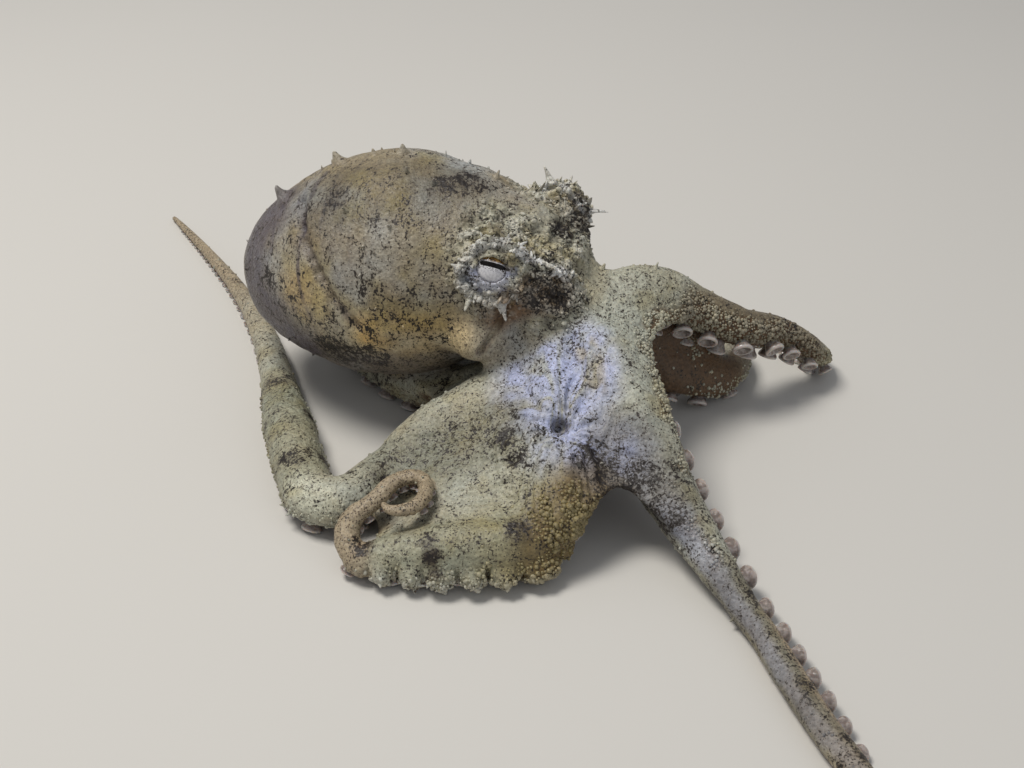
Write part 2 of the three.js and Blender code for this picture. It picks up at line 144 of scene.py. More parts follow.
# Webs: the two arms, how far along each it reaches, how deep its edge is cut and how far its middle is raised
WEBS = [
    ("arm_R1", "arm_L1", (24, 16), 0.5, 0, 0),
    ("arm_R1", "arm_R2", (33, 29), 0.32, 0, 0),
    ("arm_R2", "arm_R3", (45, 31), 0.08, 1.5, 2.5),
    ("arm_R3", "arm_R4", (26, 22), 0.35, 0, 0),
    ("arm_R4", "arm_L4", (22, 22), 0.35, 0, 0),
    ("arm_L4", "arm_L3", (21, 21), 0.35, 0, 0),
    ("arm_L3", "arm_L2", (21, 20), 0.35, 0, 0),
    ("arm_L2", "arm_L1", (20, 21), 0.35, 0, 0),
]
WEB_START = 5
WEB_HEIGHT = 0.6
WEB_THICKNESS = 1.4
COAT_DEPTH = 0.2  # how far the skin lies inside the solids
THIN_EXTRA = 0.15  # how much less deep it lies at the arms' thin ends
LOBE_SPACING = 3.1  # of the lobes along the coiled arm's lower edge

# Eyes: where each one's opening faces, its half sizes, and the slit's place and half sizes on the eyeball
FACES_RIGHT = (-0.1, -0.93, 0.36)
EYE_OPENING = {"across": 1.62, "up": 1.4, "down": 1.3}
LID_THICKNESS = 0.6
LID_GAP = 0.05
SLIT = {"across": 1.45, "up": 0.27, "raised": 0.66, "bow": 0.14, "tilt": math.radians(-15)}

# The pit in the web between the two right arms, where its folds meet
PIT = np.array([5.3, -5.1, 12])
PIT_DEPTH = 2.2
PIT_RADIUS = 0.7

# The grid that the skin is made on
COARSE, FINE = ((0.32, 0.18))
HEAD_SPAN = ((-8, 12), (4, 26), (17, 31))  # where the grid is fine
GRID_HEIGHTS = (-1, 33)
JOIN_SOFT = 2.4  # how broadly shapes run into each other at the crown
JOIN_HARD = 0.25
CROWN_REACH = (20, 30)  # distances from the crown over which arms stop running into each other
ORAL_FLAT = 0.62  # depth of an arm's sucker face below its axis, as a share of its radius

# Camera and light
AIM = np.array([0, 0, 14])
DISTANCE = 160
ELEVATION = math.radians(34)
LENS = 50


# Small mathematics


def table(rows, x):
    """Values at x of a table of (x, value), straight between its rows."""
    xs, values = zip(*rows)
    return np.interp(x, xs, values)


def unit(v):
    v = np.asarray(v, float)
    return v / np.linalg.norm(v, axis=-1, keepdims=True)


def smooth_step(lo, hi, x):
    t = np.clip((x - lo) / (hi - lo), 0, 1)
    return t * t * (3 - 2 * t)


def smooth_min(a, b, k):
    """The smaller of a and b, rounded over a distance k where they are near each other."""
    h = np.maximum(k - np.abs(a - b), 0) / k
    return np.minimum(a, b) - 0.25 * k * h * h


def smooth_max(a, b, k):
    return -smooth_min(-a, -b, k)


def lattice_hash(cells, seed):
    """A repeatable number from 0 to 1 for each whole-numbered cell."""
    c = cells.astype(np.int64)
    h = c[..., 0] * 73856093 ^ c[..., 1] * 19349663 ^ c[..., 2] * 83492791 ^ (seed * 2654435761)
    h = (h ^ (h >> 13)) * 1274126177
    return ((h ^ (h >> 16)) & 0xFFFFFF) / 0xFFFFFF


def noise(points, size, number):
    """Smooth noise from -1 to 1 with features about size across. Each number gives its own pattern."""
    q = points / size
    base = np.floor(q)
    f = q - base
    f = f * f * (3 - 2 * f)
    total = np.zeros(len(points))
    for corner in np.ndindex(2, 2, 2):
        weight = np.prod(np.where(corner, f, 1 - f), axis=-1)
        total += weight * lattice_hash(base + corner, SEED + number)
    return 2 * total - 1


def clouds(points, size, octaves, number):
    """Noise summed over octaves, each half the size and strength of the one before."""
    shares = [0.5**i for i in range(octaves)]
    layers = [share * noise(points, size * share, number + i) for i, share in enumerate(shares)]
    return sum(layers) / sum(shares)


# Arms


class Arm:
    """An arm's axis, a point every AXIS_STEP of its plan, with its radius and its directions."""

    def __init__(self, name, heading, bends, heights, radii, roll=0, roll_ends=(1, 2)):
        self.name = name
        counts = [round(length / AXIS_STEP) for length, _ in bends]
        turns = [np.full(n, math.radians(turn) / n) for n, (_, turn) in zip(counts, bends)]
        turns = np.concatenate(turns)
        headings = math.radians(heading) + np.cumsum(turns) - turns / 2
        steps = AXIS_STEP * np.stack([np.cos(headings), np.sin(headings)], -1)
        plan = np.vstack([[0, 0], np.cumsum(steps, 0)]) + CROWN[:2]
        self.distance = AXIS_STEP * np.arange(len(plan))
        self.length = self.distance[-1]
        self.radius = table(radii, self.distance)
        height = np.maximum(REST * self.radius, table(heights, self.distance))
        kernel = np.hanning(BEND_SMOOTHING)
        padded = np.pad(height, BEND_SMOOTHING // 2, mode="edge")
        height = np.convolve(padded, kernel / kernel.sum(), "valid")
        self.points = np.column_stack([plan, height])
        self.run = unit(np.gradient(self.points, axis=0))
        self.side = unit(np.cross(self.run, [0, 0, 1]))
        self.up = np.cross(self.side, self.run)
        angle = np.radians(roll) * (1 - smooth_step(*roll_ends, self.distance))
        self.oral = self.towards(angle)
        self.roll = angle

    def towards(self, angle):
        """Directions out of the axis, at an angle from straight down."""
        angle = np.asarray(angle)[..., None]
        return -self.up * np.cos(angle) + self.side * np.sin(angle)

    def index(self, distance):
        return np.clip(np.rint(np.asarray(distance) / AXIS_STEP), 0, len(self.points) - 1).astype(int)


arms = {name: Arm(name, **facts) for name, facts in ARMS.items()}


# The field of distances


def graded_axis(lo, hi, fine_lo, fine_hi):
    """Grid places from lo to hi, FINE apart between fine_lo and fine_hi and growing to COARSE outside."""
    places = [lo]
    while places[-1] < hi:
        away = max(fine_lo - places[-1], places[-1] - fine_hi, 0)
        places.append(places[-1] + min(COARSE, FINE + 0.05 * away))
    return np.array(places, np.float32)


class Field:
    """Distances to the flesh on a grid, negative inside it."""

    def __init__(self, axes):
        self.axes = axes
        self.values = np.full([len(axis) for axis in axes], FAR, np.float32)

    def at(self, points):
        """Values at points, straight between the grid's."""
        places, shares = [], []
        for axis, place in zip(self.axes, points.T):
            i = np.clip(np.searchsorted(axis, place) - 1, 0, len(axis) - 2)
            places.append(i)
            shares.append(np.clip((place - axis[i]) / (axis[i + 1] - axis[i]), 0, 1))
        total = 0
        for corner in np.ndindex(2, 2, 2):
            weight = np.prod([s if c else 1 - s for s, c in zip(shares, corner)], axis=0)
            total = total + weight * self.values[tuple(i + c for i, c in zip(places, corner))]
        return total

    def window(self, lo, hi):
        """The grid points between two corners: their slices, and x, y and z ready to broadcast."""
        ends = [np.searchsorted(a, (l, h)) for a, l, h in zip(self.axes, lo, hi)]
        spans = tuple(slice(max(a - 1, 0), b + 1) for a, b in ends)
        return spans, np.ix_(*(a[s] for a, s in zip(self.axes, spans)))

    def join(self, shape, k):
        """Adds a shape, given as (lowest corner, highest corner, function of x, y, z)."""
        lo, hi, distance = shape
        spans, xyz = self.window(lo, hi)
        width = k(*xyz) if callable(k) else k
        self.values[spans] = smooth_min(self.values[spans], distance(*xyz), width)

    def cut(self, shape, k):
        """Takes a shape away."""
        lo, hi, distance = shape
        spans, xyz = self.window(lo, hi)
        self.values[spans] = smooth_max(self.values[spans], -distance(*xyz), k)


def around(centre, reach):
    centre = np.asarray(centre, float)
    return centre - reach, centre + reach


def dot(direction, x, y, z):
    return x * direction[0] + y * direction[1] + z * direction[2]


def from_place(place, x, y, z):
    return x - place[0], y - place[1], z - place[2]


def squared_distance(place, *xyz):
    x, y, z = from_place(place, *xyz)
    return x * x + y * y + z * z


def distance_from(place, *xyz):
    return np.sqrt(squared_distance(place, *xyz))


def ellipsoid(centre, radii, pad=4):
    rx, ry, rz = radii

    def distance(*xyz):
        x, y, z = from_place(centre, *xyz)
        near = np.sqrt((x / rx) ** 2 + (y / ry) ** 2 + (z / rz) ** 2)
        slope = np.sqrt((x / rx**2) ** 2 + (y / ry**2) ** 2 + (z / rz**2) ** 2)
        return near * (near - 1) / np.maximum(slope, 1e-6)

    return (*around(centre, np.array(radii) + pad), distance)


def ball(centre, radius, pad=4):
    return ellipsoid(centre, (radius, radius, radius), pad)


def cone(a, b, ra, rb, pad=3):
    """A rod with round ends from a to b whose radius goes from ra to rb."""
    a, b = np.asarray(a, float), np.asarray(b, float)
    axis = b - a
    lo = np.minimum(a, b) - max(ra, rb) - pad
    hi = np.maximum(a, b) + max(ra, rb) + pad

    def distance(*xyz):
        offset = from_place(a, *xyz)
        t = np.clip(dot(axis, *offset) / (axis @ axis), 0, 1)
        return distance_from([t * part for part in axis], *offset) - (ra + t * (rb - ra))

    return lo, hi, distance


def turned(a, b, profile, pad=4):
    """A body turned about the line from a to b. The profile is rows of (distance along, radius)."""
    run, step = unit(b - a), 0.2
    along, radius = np.array(profile, float).T
    s_grid = np.arange(along[0] - pad - 1, along[-1] + pad + 1, step)
    r_grid = np.arange(0, radius.max() + pad + 1, step)
    s, r = np.meshgrid(s_grid, r_grid, indexing="ij")
    best = np.full(s.shape, 1e9)
    for (s0, r0), (s1, r1) in zip(profile[:-1], profile[1:]):
        if s0 == s1 and r0 == r1:
            continue
        ds, dr = s1 - s0, r1 - r0
        t = np.clip(((s - s0) * ds + (r - r0) * dr) / (ds * ds + dr * dr), 0, 1)
        best = np.minimum(best, np.hypot(s - s0 - t * ds, r - r0 - t * dr))
    inside = (s > along[0]) & (s < along[-1]) & (r < np.interp(s, along, radius))
    signed = np.where(inside, -best, best)

    def distance(*xyz):
        x, y, z = from_place(a, *xyz)
        s = dot(run, x, y, z)
        r = np.sqrt(np.maximum(x * x + y * y + z * z - s * s, 0))
        i = np.clip((s - s_grid[0]) / step, 0, len(s_grid) - 1.001)
        j = np.clip(r / step, 0, len(r_grid) - 1.001)
        i0, j0 = i.astype(int), j.astype(int)
        fi, fj = i - i0, j - j0
        low = signed[i0, j0] * (1 - fj) + signed[i0, j0 + 1] * fj
        high = signed[i0 + 1, j0] * (1 - fj) + signed[i0 + 1, j0 + 1] * fj
        return low * (1 - fi) + high * fi

    reach = radius.max() + pad
    return np.minimum(a, b) - reach, np.maximum(a, b) + reach, distance


def spline(points, steps):
    """Points of a smooth curve through the given ones."""
    p = np.array(points, float)
    p = np.vstack([2 * p[0] - p[1], p, 2 * p[-1] - p[-2]])
    t = np.linspace(0, 1, steps, endpoint=False)[:, None]
    pieces = []
    for p0, p1, p2, p3 in zip(p[:-3], p[1:-2], p[2:-1], p[3:]):
        bend = 2 * p0 - 5 * p1 + 4 * p2 - p3
        pieces.append(0.5 * (2 * p1 + (p2 - p0) * t + bend * t**2 + (3 * p1 - p0 - 3 * p2 + p3) * t**3))
    return np.vstack([*pieces, p[-2]])


def gathered(field, lo, hi, shapes):
    """Many small shapes as one, on the part of the grid between two corners."""
    spans, _ = field.window(lo, hi)
    whole = np.full(field.values[spans].shape, FAR, np.float32)
    for shape_lo, shape_hi, distance in shapes:
        local, xyz = field.window(shape_lo, shape_hi)
        inner = tuple(slice(l.start - s.start, l.stop - s.start) for l, s in zip(local, spans))
        whole[inner] = np.minimum(whole[inner], distance(*xyz))
    return whole


def arm_shape(field, arm, pad=3):
    """The whole arm: rods along its axis, flattened on the sucker side."""
    every = 4
    radius = arm.radius + THIN_EXTRA * smooth_step(1.3, 0.6, arm.radius)

    def rod(i):
        a, ra = arm.points[i], radius[i]
        lo, hi, rounded = cone(a, arm.points[i + every], ra, radius[i + every], pad)

        def distance(*xyz):
            depth = dot(arm.oral[i], *from_place(a, *xyz))
            return smooth_max(rounded(*xyz), depth - ORAL_FLAT * ra, 0.5 * ra)

        return lo, hi, distance

    lo = arm.points.min(0) - arm.radius[0] - pad
    hi = arm.points.max(0) + arm.radius[0] + pad
    whole = gathered(field, lo, hi, map(rod, range(0, len(arm.points) - every, every)))
    return lo, hi, lambda x, y, z: whole


def web_points(first, second, reach, notch, lift, dip, count=64):
    """A grid of points on the sheet between two arms."""
    across = np.linspace(0, 1, count)[None, :, None]
    out = np.linspace(0, 1, count)[:, None, None]
    arch = np.sin(np.pi * across)
    along = out * (1 - notch * arch)
    roots = []
    for arm, far in zip((first, second), reach):
        i = arm.index(WEB_START + along[..., 0] * (far - WEB_START))
        roots.append(arm.points[i] + WEB_HEIGHT * arm.radius[i][..., None] * arm.up[i])
    points = roots[0] * (1 - across) + roots[1] * across
    points[..., 2:] += arch * (lift * np.sin(np.pi * along) - dip * along**3)
    return points.reshape(-1, 3)


def web_shape(field, points, pad=2.6):
    """A sheet of even thickness through a grid of points."""
    radius = WEB_THICKNESS / 2

    def squared(point):
        return point - radius - pad, point + radius + pad, lambda *xyz: squared_distance(point, *xyz)

    lo, hi = points.min(0) - pad - 1, points.max(0) + pad + 1
    whole = gathered(field, lo, hi, map(squared, points))
    whole = np.where(whole < FAR, np.sqrt(whole) - radius, FAR)
    return lo, hi, lambda x, y, z: whole


def near_crown(x, y, z):
    """How broadly shapes join, by distance from the crown."""
    return JOIN_SOFT + (JOIN_HARD - JOIN_SOFT) * smooth_step(*CROWN_REACH, distance_from(CROWN, x, y, z))


def add_limbs(field):
    """The arms, the webs between them and the crown they grow from."""
    for arm in arms.values():
        field.join(arm_shape(field, arm), near_crown)
    for first, second, far, notch, lift, dip in WEBS:
        points = web_points(arms[first], arms[second], far, notch, lift, dip)
        field.join(web_shape(field, points), near_crown)
    field.join(ball(CROWN, CROWN_RADIUS), JOIN_SOFT)


def gaze(eye):
    """The level direction straight out from the head's midline to an eye."""
    out = eye - (EYE_LEFT + EYE_RIGHT) / 2
    return unit(out * (1, 1, 0))


def eye_centre(eye):
    return eye + EYE_STANDS_OUT * gaze(eye)


def eye_axes(eye):
    """An eye's directions: along the slit, up across it and out. The left eye mirrors the right."""
    out = unit(FACES_RIGHT)
    along = np.array([math.cos(SLIT["tilt"]), 0, math.sin(SLIT["tilt"])])
    along = unit(along - (along @ out) * out)
    if eye is EYE_LEFT:
        middle = gaze(EYE_RIGHT)
        out = out - 2 * (out @ middle) * middle
        along = along - 2 * (along @ middle) * middle
    up = np.cross(out, along)
    way = np.sign(up[2])
    return way * along, way * up, out


def add_head(field):
    """The mantle, neck, head, funnel and eye turrets, without the lids."""
    length = np.linalg.norm(HIND_TIP - NECK)
    rows = [*((share * length, radius) for share, radius in MANTLE_PROFILE), (length + MANTLE_NOSE, 0)]
    profile = np.vstack([(0, 0), spline(rows, 8)])
    profile[:, 1] = np.maximum(profile[:, 1], 0)
    field.join(turned(NECK, HIND_TIP, profile), 0.1)
    rear = NECK + 3 * unit(HIND_TIP - NECK)
    field.join(cone(rear, (1.8, 16.2, 20.6), 9.6, 7.9), throat)
    for centre, radii in HEAD_LOBES:
        field.join(ellipsoid(centre, radii), throat)
    for eye in (EYE_RIGHT, EYE_LEFT):
        field.join(ball(eye, EYE_TURRET), 1.6)
        field.join(ball(eye_centre(eye), EYE_RADIUS + LID_THICKNESS), 1.2)
    field.join(cone(FUNNEL["root"], FUNNEL["tip"], FUNNEL["root_radius"], FUNNEL["tip_radius"]), 4.5)


def throat(x, y, z):
    """How broadly the head joins the mantle: smoothly at the nape, with an edge below."""
    return 0.5 + 3 * smooth_step(15, 21, z)


def opening(eye, pad=2):
    """The hole between an eye's lids, as a shape to be cut away."""
    centre = eye_centre(eye)
    along, up, out = eye_axes(eye)

    def distance(*xyz):
        offset = from_place(centre, *xyz)
        u = dot(along, *offset) / EYE_OPENING["across"]
        v = dot(up, *offset)
        v = v / np.where(v > 0, EYE_OPENING["up"], EYE_OPENING["down"])
        size = min(EYE_OPENING.values())
        return np.maximum((np.sqrt(u * u + v * v) - 1) * size, 1 - dot(out, *offset))

    return (*around(centre, EYE_RADIUS + 2 * LID_THICKNESS + pad), distance)


def open_eyes(field):
    for eye in (EYE_RIGHT, EYE_LEFT):
        field.cut(ball(eye_centre(eye), EYE_RADIUS + LID_GAP, 1), 0.05)
        field.cut(opening(eye), 0.35)


def dig_pit(field):
    """The pit in the web, and the hollow around it."""
    inward = unit((0, 0.65, -0.76))
    field.cut(cone(PIT - 2.6 * inward, PIT - 2.2 * inward, 2.6, 2.6, 2), 2.5)
    field.cut(cone(PIT - inward, PIT + PIT_DEPTH * inward, PIT_RADIUS * 1.7, PIT_RADIUS * 0.8, 2), 0.8)


def grow():
    """The field of the whole animal, and that of its head and mantle alone."""
    places = np.vstack([arm.points for arm in arms.values()])
    widest = max(arm.radius.max() for arm in arms.values()) + 1.5
    lo, hi = places.min(0) - widest, places.max(0) + widest
    lo[2], hi[2] = GRID_HEIGHTS
    axes = [graded_axis(a, b, *span) for a, b, span in zip(lo, hi, HEAD_SPAN)]
    whole, body = Field(axes), Field(axes)
    add_limbs(whole)
    add_head(body)
    away = distance_from(CROWN + (0, 1, 4), *np.ix_(*whole.axes))
    width = 3 + (JOIN_HARD - 3) * smooth_step(11, 16, away)
    whole.values = smooth_min(whole.values, body.values, width.astype(np.float32)) + COAT_DEPTH
    open_eyes(whole)
    dig_pit(whole)
    whole.values = np.maximum(whole.values, -axes[2])
    return whole, body


# From the field to a mesh


def surface_net(values, axes):
    """Vertices and quads of the surface where the values change sign."""
    inside = values < 0
    nx, ny, nz = inside.shape
    count = np.zeros((nx - 1, ny - 1, nz - 1), np.uint8)
    for i, j, k in np.ndindex(2, 2, 2):
        count += inside[i : nx - 1 + i, j : ny - 1 + j, k : nz - 1 + k]
    cells = np.argwhere((count > 0) & (count < 8))
    number = np.full(count.shape, -1, np.int32)
    number[tuple(cells.T)] = np.arange(len(cells))
    total = np.zeros((len(cells), 3))
    hits = np.zeros(len(cells))
    for axis in range(3):
        for u, v in np.ndindex(2, 2):
            a = np.insert(np.array([u, v]), axis, 0)
            b = np.insert(np.array([u, v]), axis, 1)
            start, end = (cells + a).T, (cells + b).T
            fa, fb = values[tuple(start)], values[tuple(end)]
            crossed = (fa < 0) != (fb < 0)
            t = np.where(crossed, fa / np.where(crossed, fa - fb, 1), 0)
            place = np.stack([axes[d][start[d]] for d in range(3)], -1).astype(float)
            place[:, axis] += t * (axes[axis][end[axis]] - axes[axis][start[axis]])
            total += place * crossed[:, None]
            hits += crossed
    vertices = total / hits[:, None]
    quads = []
    for axis in range(3):
        lower = np.take(inside, range(inside.shape[axis] - 1), axis)
        upper = np.take(inside, range(1, inside.shape[axis]), axis)
        at = np.argwhere(lower != upper)
        p, q = [d for d in range(3) if d != axis]
        keep = (at[:, p] > 0) & (at[:, q] > 0)
        keep &= (at[:, p] < inside.shape[p] - 1) & (at[:, q] < inside.shape[q] - 1)
        at = at[keep]
        corners = []
        for dp, dq in ((1, 1), (0, 1), (0, 0), (1, 0)):
            cell = at.copy()
            cell[:, p] -= dp
            cell[:, q] -= dq
            corners.append(number[tuple(cell.T)])
        quad = np.stack(corners, -1)
        out = lower[tuple(at.T)]
        flip = out if axis == 1 else ~out
        quad[flip] = quad[flip][:, ::-1]
        quads.append(quad)
    return vertices, np.vstack(quads)


def sums_at(index, values, count):
    """For each number below count, the sum of the rows of values that have it as their index."""
    return np.stack([np.bincount(index, column, count) for column in values.T], -1)


def neighbours_mean(vertices, quads):
    """The mean place of each vertex's neighbours."""
    a, b = quads.ravel(), np.roll(quads, -1, 1).ravel()
    ends, others = np.concatenate([a, b]), np.concatenate([b, a])
    count = np.bincount(ends, minlength=len(vertices))
    return sums_at(ends, vertices[others], len(vertices)) / np.maximum(count, 1)[:, None]


def normals_of(vertices, quads):
    a, b, c, d = (vertices[corner] for corner in quads.T)
    face = np.cross(c - a, d - b)
    total = sums_at(quads.ravel(), np.repeat(face, 4, axis=0), len(vertices))
    return total / np.maximum(np.linalg.norm(total, axis=-1, keepdims=True), 1e-9)


# What each point of the skin belongs to


class Survey:
    """Where each skin vertex lies along and round its arm, and how far it belongs to each part."""

    def __init__(self, points, whole, body):
        self.points = points
        self.names = list(arms)
        every = 2

        def stacked(fact):
            return np.concatenate([getattr(arm, fact)[::every] for arm in arms.values()])

        found = nearest_to(points, stacked("points"))[0]
        axis, oral, run, self.along, self.radius = (
            stacked(fact)[found] for fact in ("points", "oral", "run", "distance", "radius")
        )
        counts = [len(arm.points[::every]) for arm in arms.values()]
        self.arm = np.repeat(range(len(arms)), counts)[found]
        self.length = np.array([arm.length for arm in arms.values()])[self.arm]
        offset = points - axis
        self.away = np.linalg.norm(offset, axis=1) / self.radius
        self.angle = np.arctan2((offset * np.cross(oral, run)).sum(1), (offset * oral).sum(1))
        self.edge = nearest_to(points, web_edges())[1]
        self.body = smooth_step(1.2, 0, body.at(points) - whole.at(points))
        self.limb = 1 - self.body
        length = HIND_TIP - NECK
        self.back = (points - NECK) @ length / (length @ length)
        face = [self.near(EYE_RIGHT, 4.6, 8), self.near(EYE_LEFT, 4.6, 8), self.near((4, 13, 20), 6, 9)]
        beside = smooth_step(7.8, 9.4, points[:, 0]) * smooth_step(18, 15.5, points[:, 1])
        self.head = self.body * np.max(face, axis=0) * (1 - beside)
        self.mantle = (self.body - self.head) * smooth_step(6, 2, points[:, 0])
        run, side = unit(length), unit(np.cross(length, [0, 0, 1]))
        self.mantle_frame = np.stack([run, side, np.cross(side, run)], -1)
        self.upper = smooth_step(-0.5, 0.3, -np.cos(self.angle))
        self.lumps = clouds(points, 1.3, 3, 22)

    def on(self, name):
        """1 on one arm and 0 elsewhere."""
        return (self.arm == self.names.index(name)) * self.limb

    def near(self, place, inner, outer):
        """1 within a distance of a place, falling to 0 further away."""
        return smooth_step(outer, inner, np.linalg.norm(self.points - np.asarray(place), axis=1))

    def near_line(self, line, inner, outer):
        """1 within a distance of a line through places, falling to 0 further away."""
        return smooth_step(outer, inner, line_distance(self.points, line, outer))

    def round_pit(self):
        """Each point's distance from the web's pit, and its direction round it."""
        away = self.points - PIT
        return np.linalg.norm(away, axis=1), np.arctan2(away[:, 2] - away[:, 1], away[:, 0])

    def stretched(self, along, round_it):
        """The points in the mantle's own directions, shrunk so that noise stretches round the mantle."""
        return (self.points - NECK) @ self.mantle_frame * (along, round_it, round_it)


def nearest_to(points, others):
    """For each point, which of the others is nearest and how far it is."""
    tree = KDTree(len(others))
    for number, place in enumerate(others):
        tree.insert(place, number)
    tree.balance()
    found = [tree.find(p)[1:] for p in points]
    return np.array([f[0] for f in found]), np.array([f[1] for f in found])


def web_edges():
    """Points along the webs' outer edges."""
    count = 64
    grids = [web_points(arms[a], arms[b], far, *shape, count) for a, b, far, *shape in WEBS]
    return np.vstack([grid[-count:] for grid in grids])


def line_distance(points, line, reach):
    """Distances to a line through places, where they are within reach."""
    line = np.array(line, float)
    found = np.full(len(points), FAR)
    box = np.all((points > line.min(0) - reach) & (points < line.max(0) + reach), axis=1)
    inside = points[box]
    best = np.full(len(inside), FAR)
    for a, b in zip(line[:-1], line[1:]):
        run = b - a
        t = np.clip((inside - a) @ run / (run @ run), 0, 1)[:, None]
        best = np.minimum(best, np.linalg.norm(inside - a - t * run, axis=1))
    found[box] = best
    return found


# The ragged pale ridges over, under and between the eyes
BROW = [
    [(-6, 7.7, 24.3), (-5.2, 7.8, 26), (-3.6, 8.3, 27.3), (-1.2, 8.5, 27.7), (0.8, 7.8, 26.7)],
    [(0.8, 7.8, 26.7), (3, 7.9, 25.4), (4.7, 8.1, 24.1), (7, 8.7, 23)],
    [(-5.8, 7.3, 22.8), (-4.4, 6.6, 21.5), (-2.4, 6.2, 21), (-0.6, 6.3, 21.6), (0.9, 6.6, 22.8)],
    [(1.9, 19, 27.6), (4, 20.6, 28.6), (6.4, 20.8, 28), (8.2, 20, 26.6), (8.8, 19.6, 25)],
    [(2.4, 16.4, 27.6), (3.6, 17.4, 27.9), (5, 18.2, 27.6), (5.6, 17.6, 25.6)],
]
MANTLE_FOLD = [
    (-25, 18.9, 27.4), (-24.1, 13.7, 24.9), (-22.4, 11, 22.3), (-20.5, 9.2, 19.6), (-18, 8.1, 17),
]
FUNNEL_EDGE = [(-1, 6.3, 19.6), (-1.4, 6.3, 18.3), (-2, 6, 17.2), (-2.8, 5.5, 15.9), (-3.7, 5.2, 14.8)]
# Folds of the skin: their course, half width, and height, which is below 0 for a groove
FOLDS = [
    *((line, 0.5, 1.3) for line in BROW),
    ([(5.4, 13.4, 27.2), (7.2, 14.4, 25.6)], 1.7, -1.2),
    ([(0.3, 9.7, 27.8), (2.1, 10.6, 27.3), (4.2, 11.6, 26.8), (6.4, 12, 25.4)], 1.2, -0.9),
    (MANTLE_FOLD, 0.7, -0.9),
    (FUNNEL_EDGE, 0.4, -0.9),
    ([(0.6, 6.3, 18), (0.7, 4.4, 15.6), (0.8, 2.4, 13), (1.6, 0.1, 12.9), (3.2, -3.2, 12.4)], 0.55, -0.6),
    ([(6.2, 5.6, 18), (6.5, 4.6, 17), (7, 1, 15), (6.6, -1.6, 14), (5.9, -3.4, 13)], 0.6, -0.65),
    ([(8.6, 4, 17.2), (8.9, 2, 16.4), (10.9, -1.9, 14.4)], 0.7, 0.35),
    ([(8.2, 9.6, 21.8), (9.4, 11.8, 22.6), (10.2, 14.6, 22.8), (10.4, 17, 21.6)], 1.3, -1.1),
    ([(-10, 5.6, 13), (-6, 3.8, 12.9), (-2.4, 1.4, 12.2)], 0.8, 0.3),
    ([(4.8, -7.4, 10.2), (5.8, -10, 9), (7.6, -12.2, 8.4)], 0.5, -0.4),
    ([(6.8, -6.6, 11.4), (9.2, -8.6, 10.8), (12, -10.6, 9.8)], 0.5, -0.4),
    ([(3.6, -6.4, 10.6), (0, -8, 9.2), (-4, -9.2, 7.8)], 0.5, -0.35),
]


def skin_relief(survey):
    """How far each vertex stands out of the smooth body: folds, wrinkles and warty skin."""
    p = survey.points
    reach, bearing = survey.round_pit()
    wander = 0.55 * noise(p, 3.1, 11)
    pleats = np.cos(13 * (bearing + wander)) * np.exp(-reach / 8) * smooth_step(0.8, 3, reach)
    relief = 0.36 * pleats * survey.limb
    relief += 0.14 * clouds(p, 3.4, 3, 20) + 0.06 * clouds(p, 1.1, 2, 21) * survey.limb
    creases = smooth_step(0.25, 0, np.abs(clouds(p, 1, 2, 26)))
    relief += survey.head * (0.7 * survey.lumps + 0.3 * creases)
    relief += survey.mantle * 0.1 * clouds(survey.stretched(1, 0.3), 1.1, 2, 23)
    for line, width, height in FOLDS:
        wobble = 0.75 + 0.5 * noise(p, 0.9, 25)
        relief += height * np.exp(-((line_distance(p, line, 3 * width) / width) ** 2)) * wobble
    ridge = np.abs(clouds(p * (0.35, 1, 1), 1.8, 2, 24))
    relief -= 0.4 * smooth_step(0.16, 0, ridge) * survey.near((-6, -7.5, 8), 5, 10) * survey.limb
    thin = smooth_step(0.4, 2.4, survey.radius)
    open_skin = 1 - survey.near(eye_centre(EYE_RIGHT), EYE_RADIUS + 0.1, EYE_RADIUS + 0.7)
    return relief * np.maximum(thin, survey.body) * open_skin * smooth_step(0.1, 1.2, p[:, 2])


def scallops(survey, normals):
    """How far each vertex of the coiled arm's lower edge moves to make its lobes."""
    place = survey.along + 0.7 * noise(survey.points, 2.2, 46)
    lobes = np.abs(np.cos(np.pi * place / LOBE_SPACING)) ** 0.6
    size = 0.75 + 0.5 * noise(survey.points, 4, 51)
    out = unit(normals * (1, 1, 0) + (0, 0, -0.35))
    low = smooth_step(4, 2.6, survey.points[:, 2]) * smooth_step(0.1, -0.4, normals[:, 1])
    return (skirt(survey) * low * size * (2.1 * lobes - 0.5))[:, None] * out


# Colours, as linear red, green and blue
CREAM = (0.41, 0.38, 0.27)
MINT = (0.41, 0.43, 0.37)
LAVENDER = (0.44, 0.48, 0.68)
OLIVE = (0.29, 0.235, 0.08)
FAWN = (0.29, 0.24, 0.155)
SILVER = (0.36, 0.37, 0.36)
DUSK = (0.09, 0.078, 0.1)
SLATE = (0.13, 0.15, 0.18)
PINK_BROWN = (0.37, 0.29, 0.19)
# The mouth side's deep brown, as dark as it looks in shade, so partly painted shade; it also paints the shade
# on the arms behind the raised left arm
ORAL_BROWN_AND_SHADE = (0.1, 0.05, 0.018)
DARK = (0.035, 0.025, 0.018)
WHITE = (0.6, 0.59, 0.53)
FROST = (0.74, 0.74, 0.73)
PALE_FLESH = (0.43, 0.38, 0.28)
YELLOWISH = (0.42, 0.35, 0.17)
# Painted shade for the web's pit
PIT_PURPLE_SHADE = (0.05, 0.04, 0.065)
# The purplish rear of the mantle
REAR_RIM = [(-29, 22, 27), (-32, 20.5, 22), (-32, 19, 18.5), (-30.5, 17, 14.5), (-26.5, 13.6, 11)]
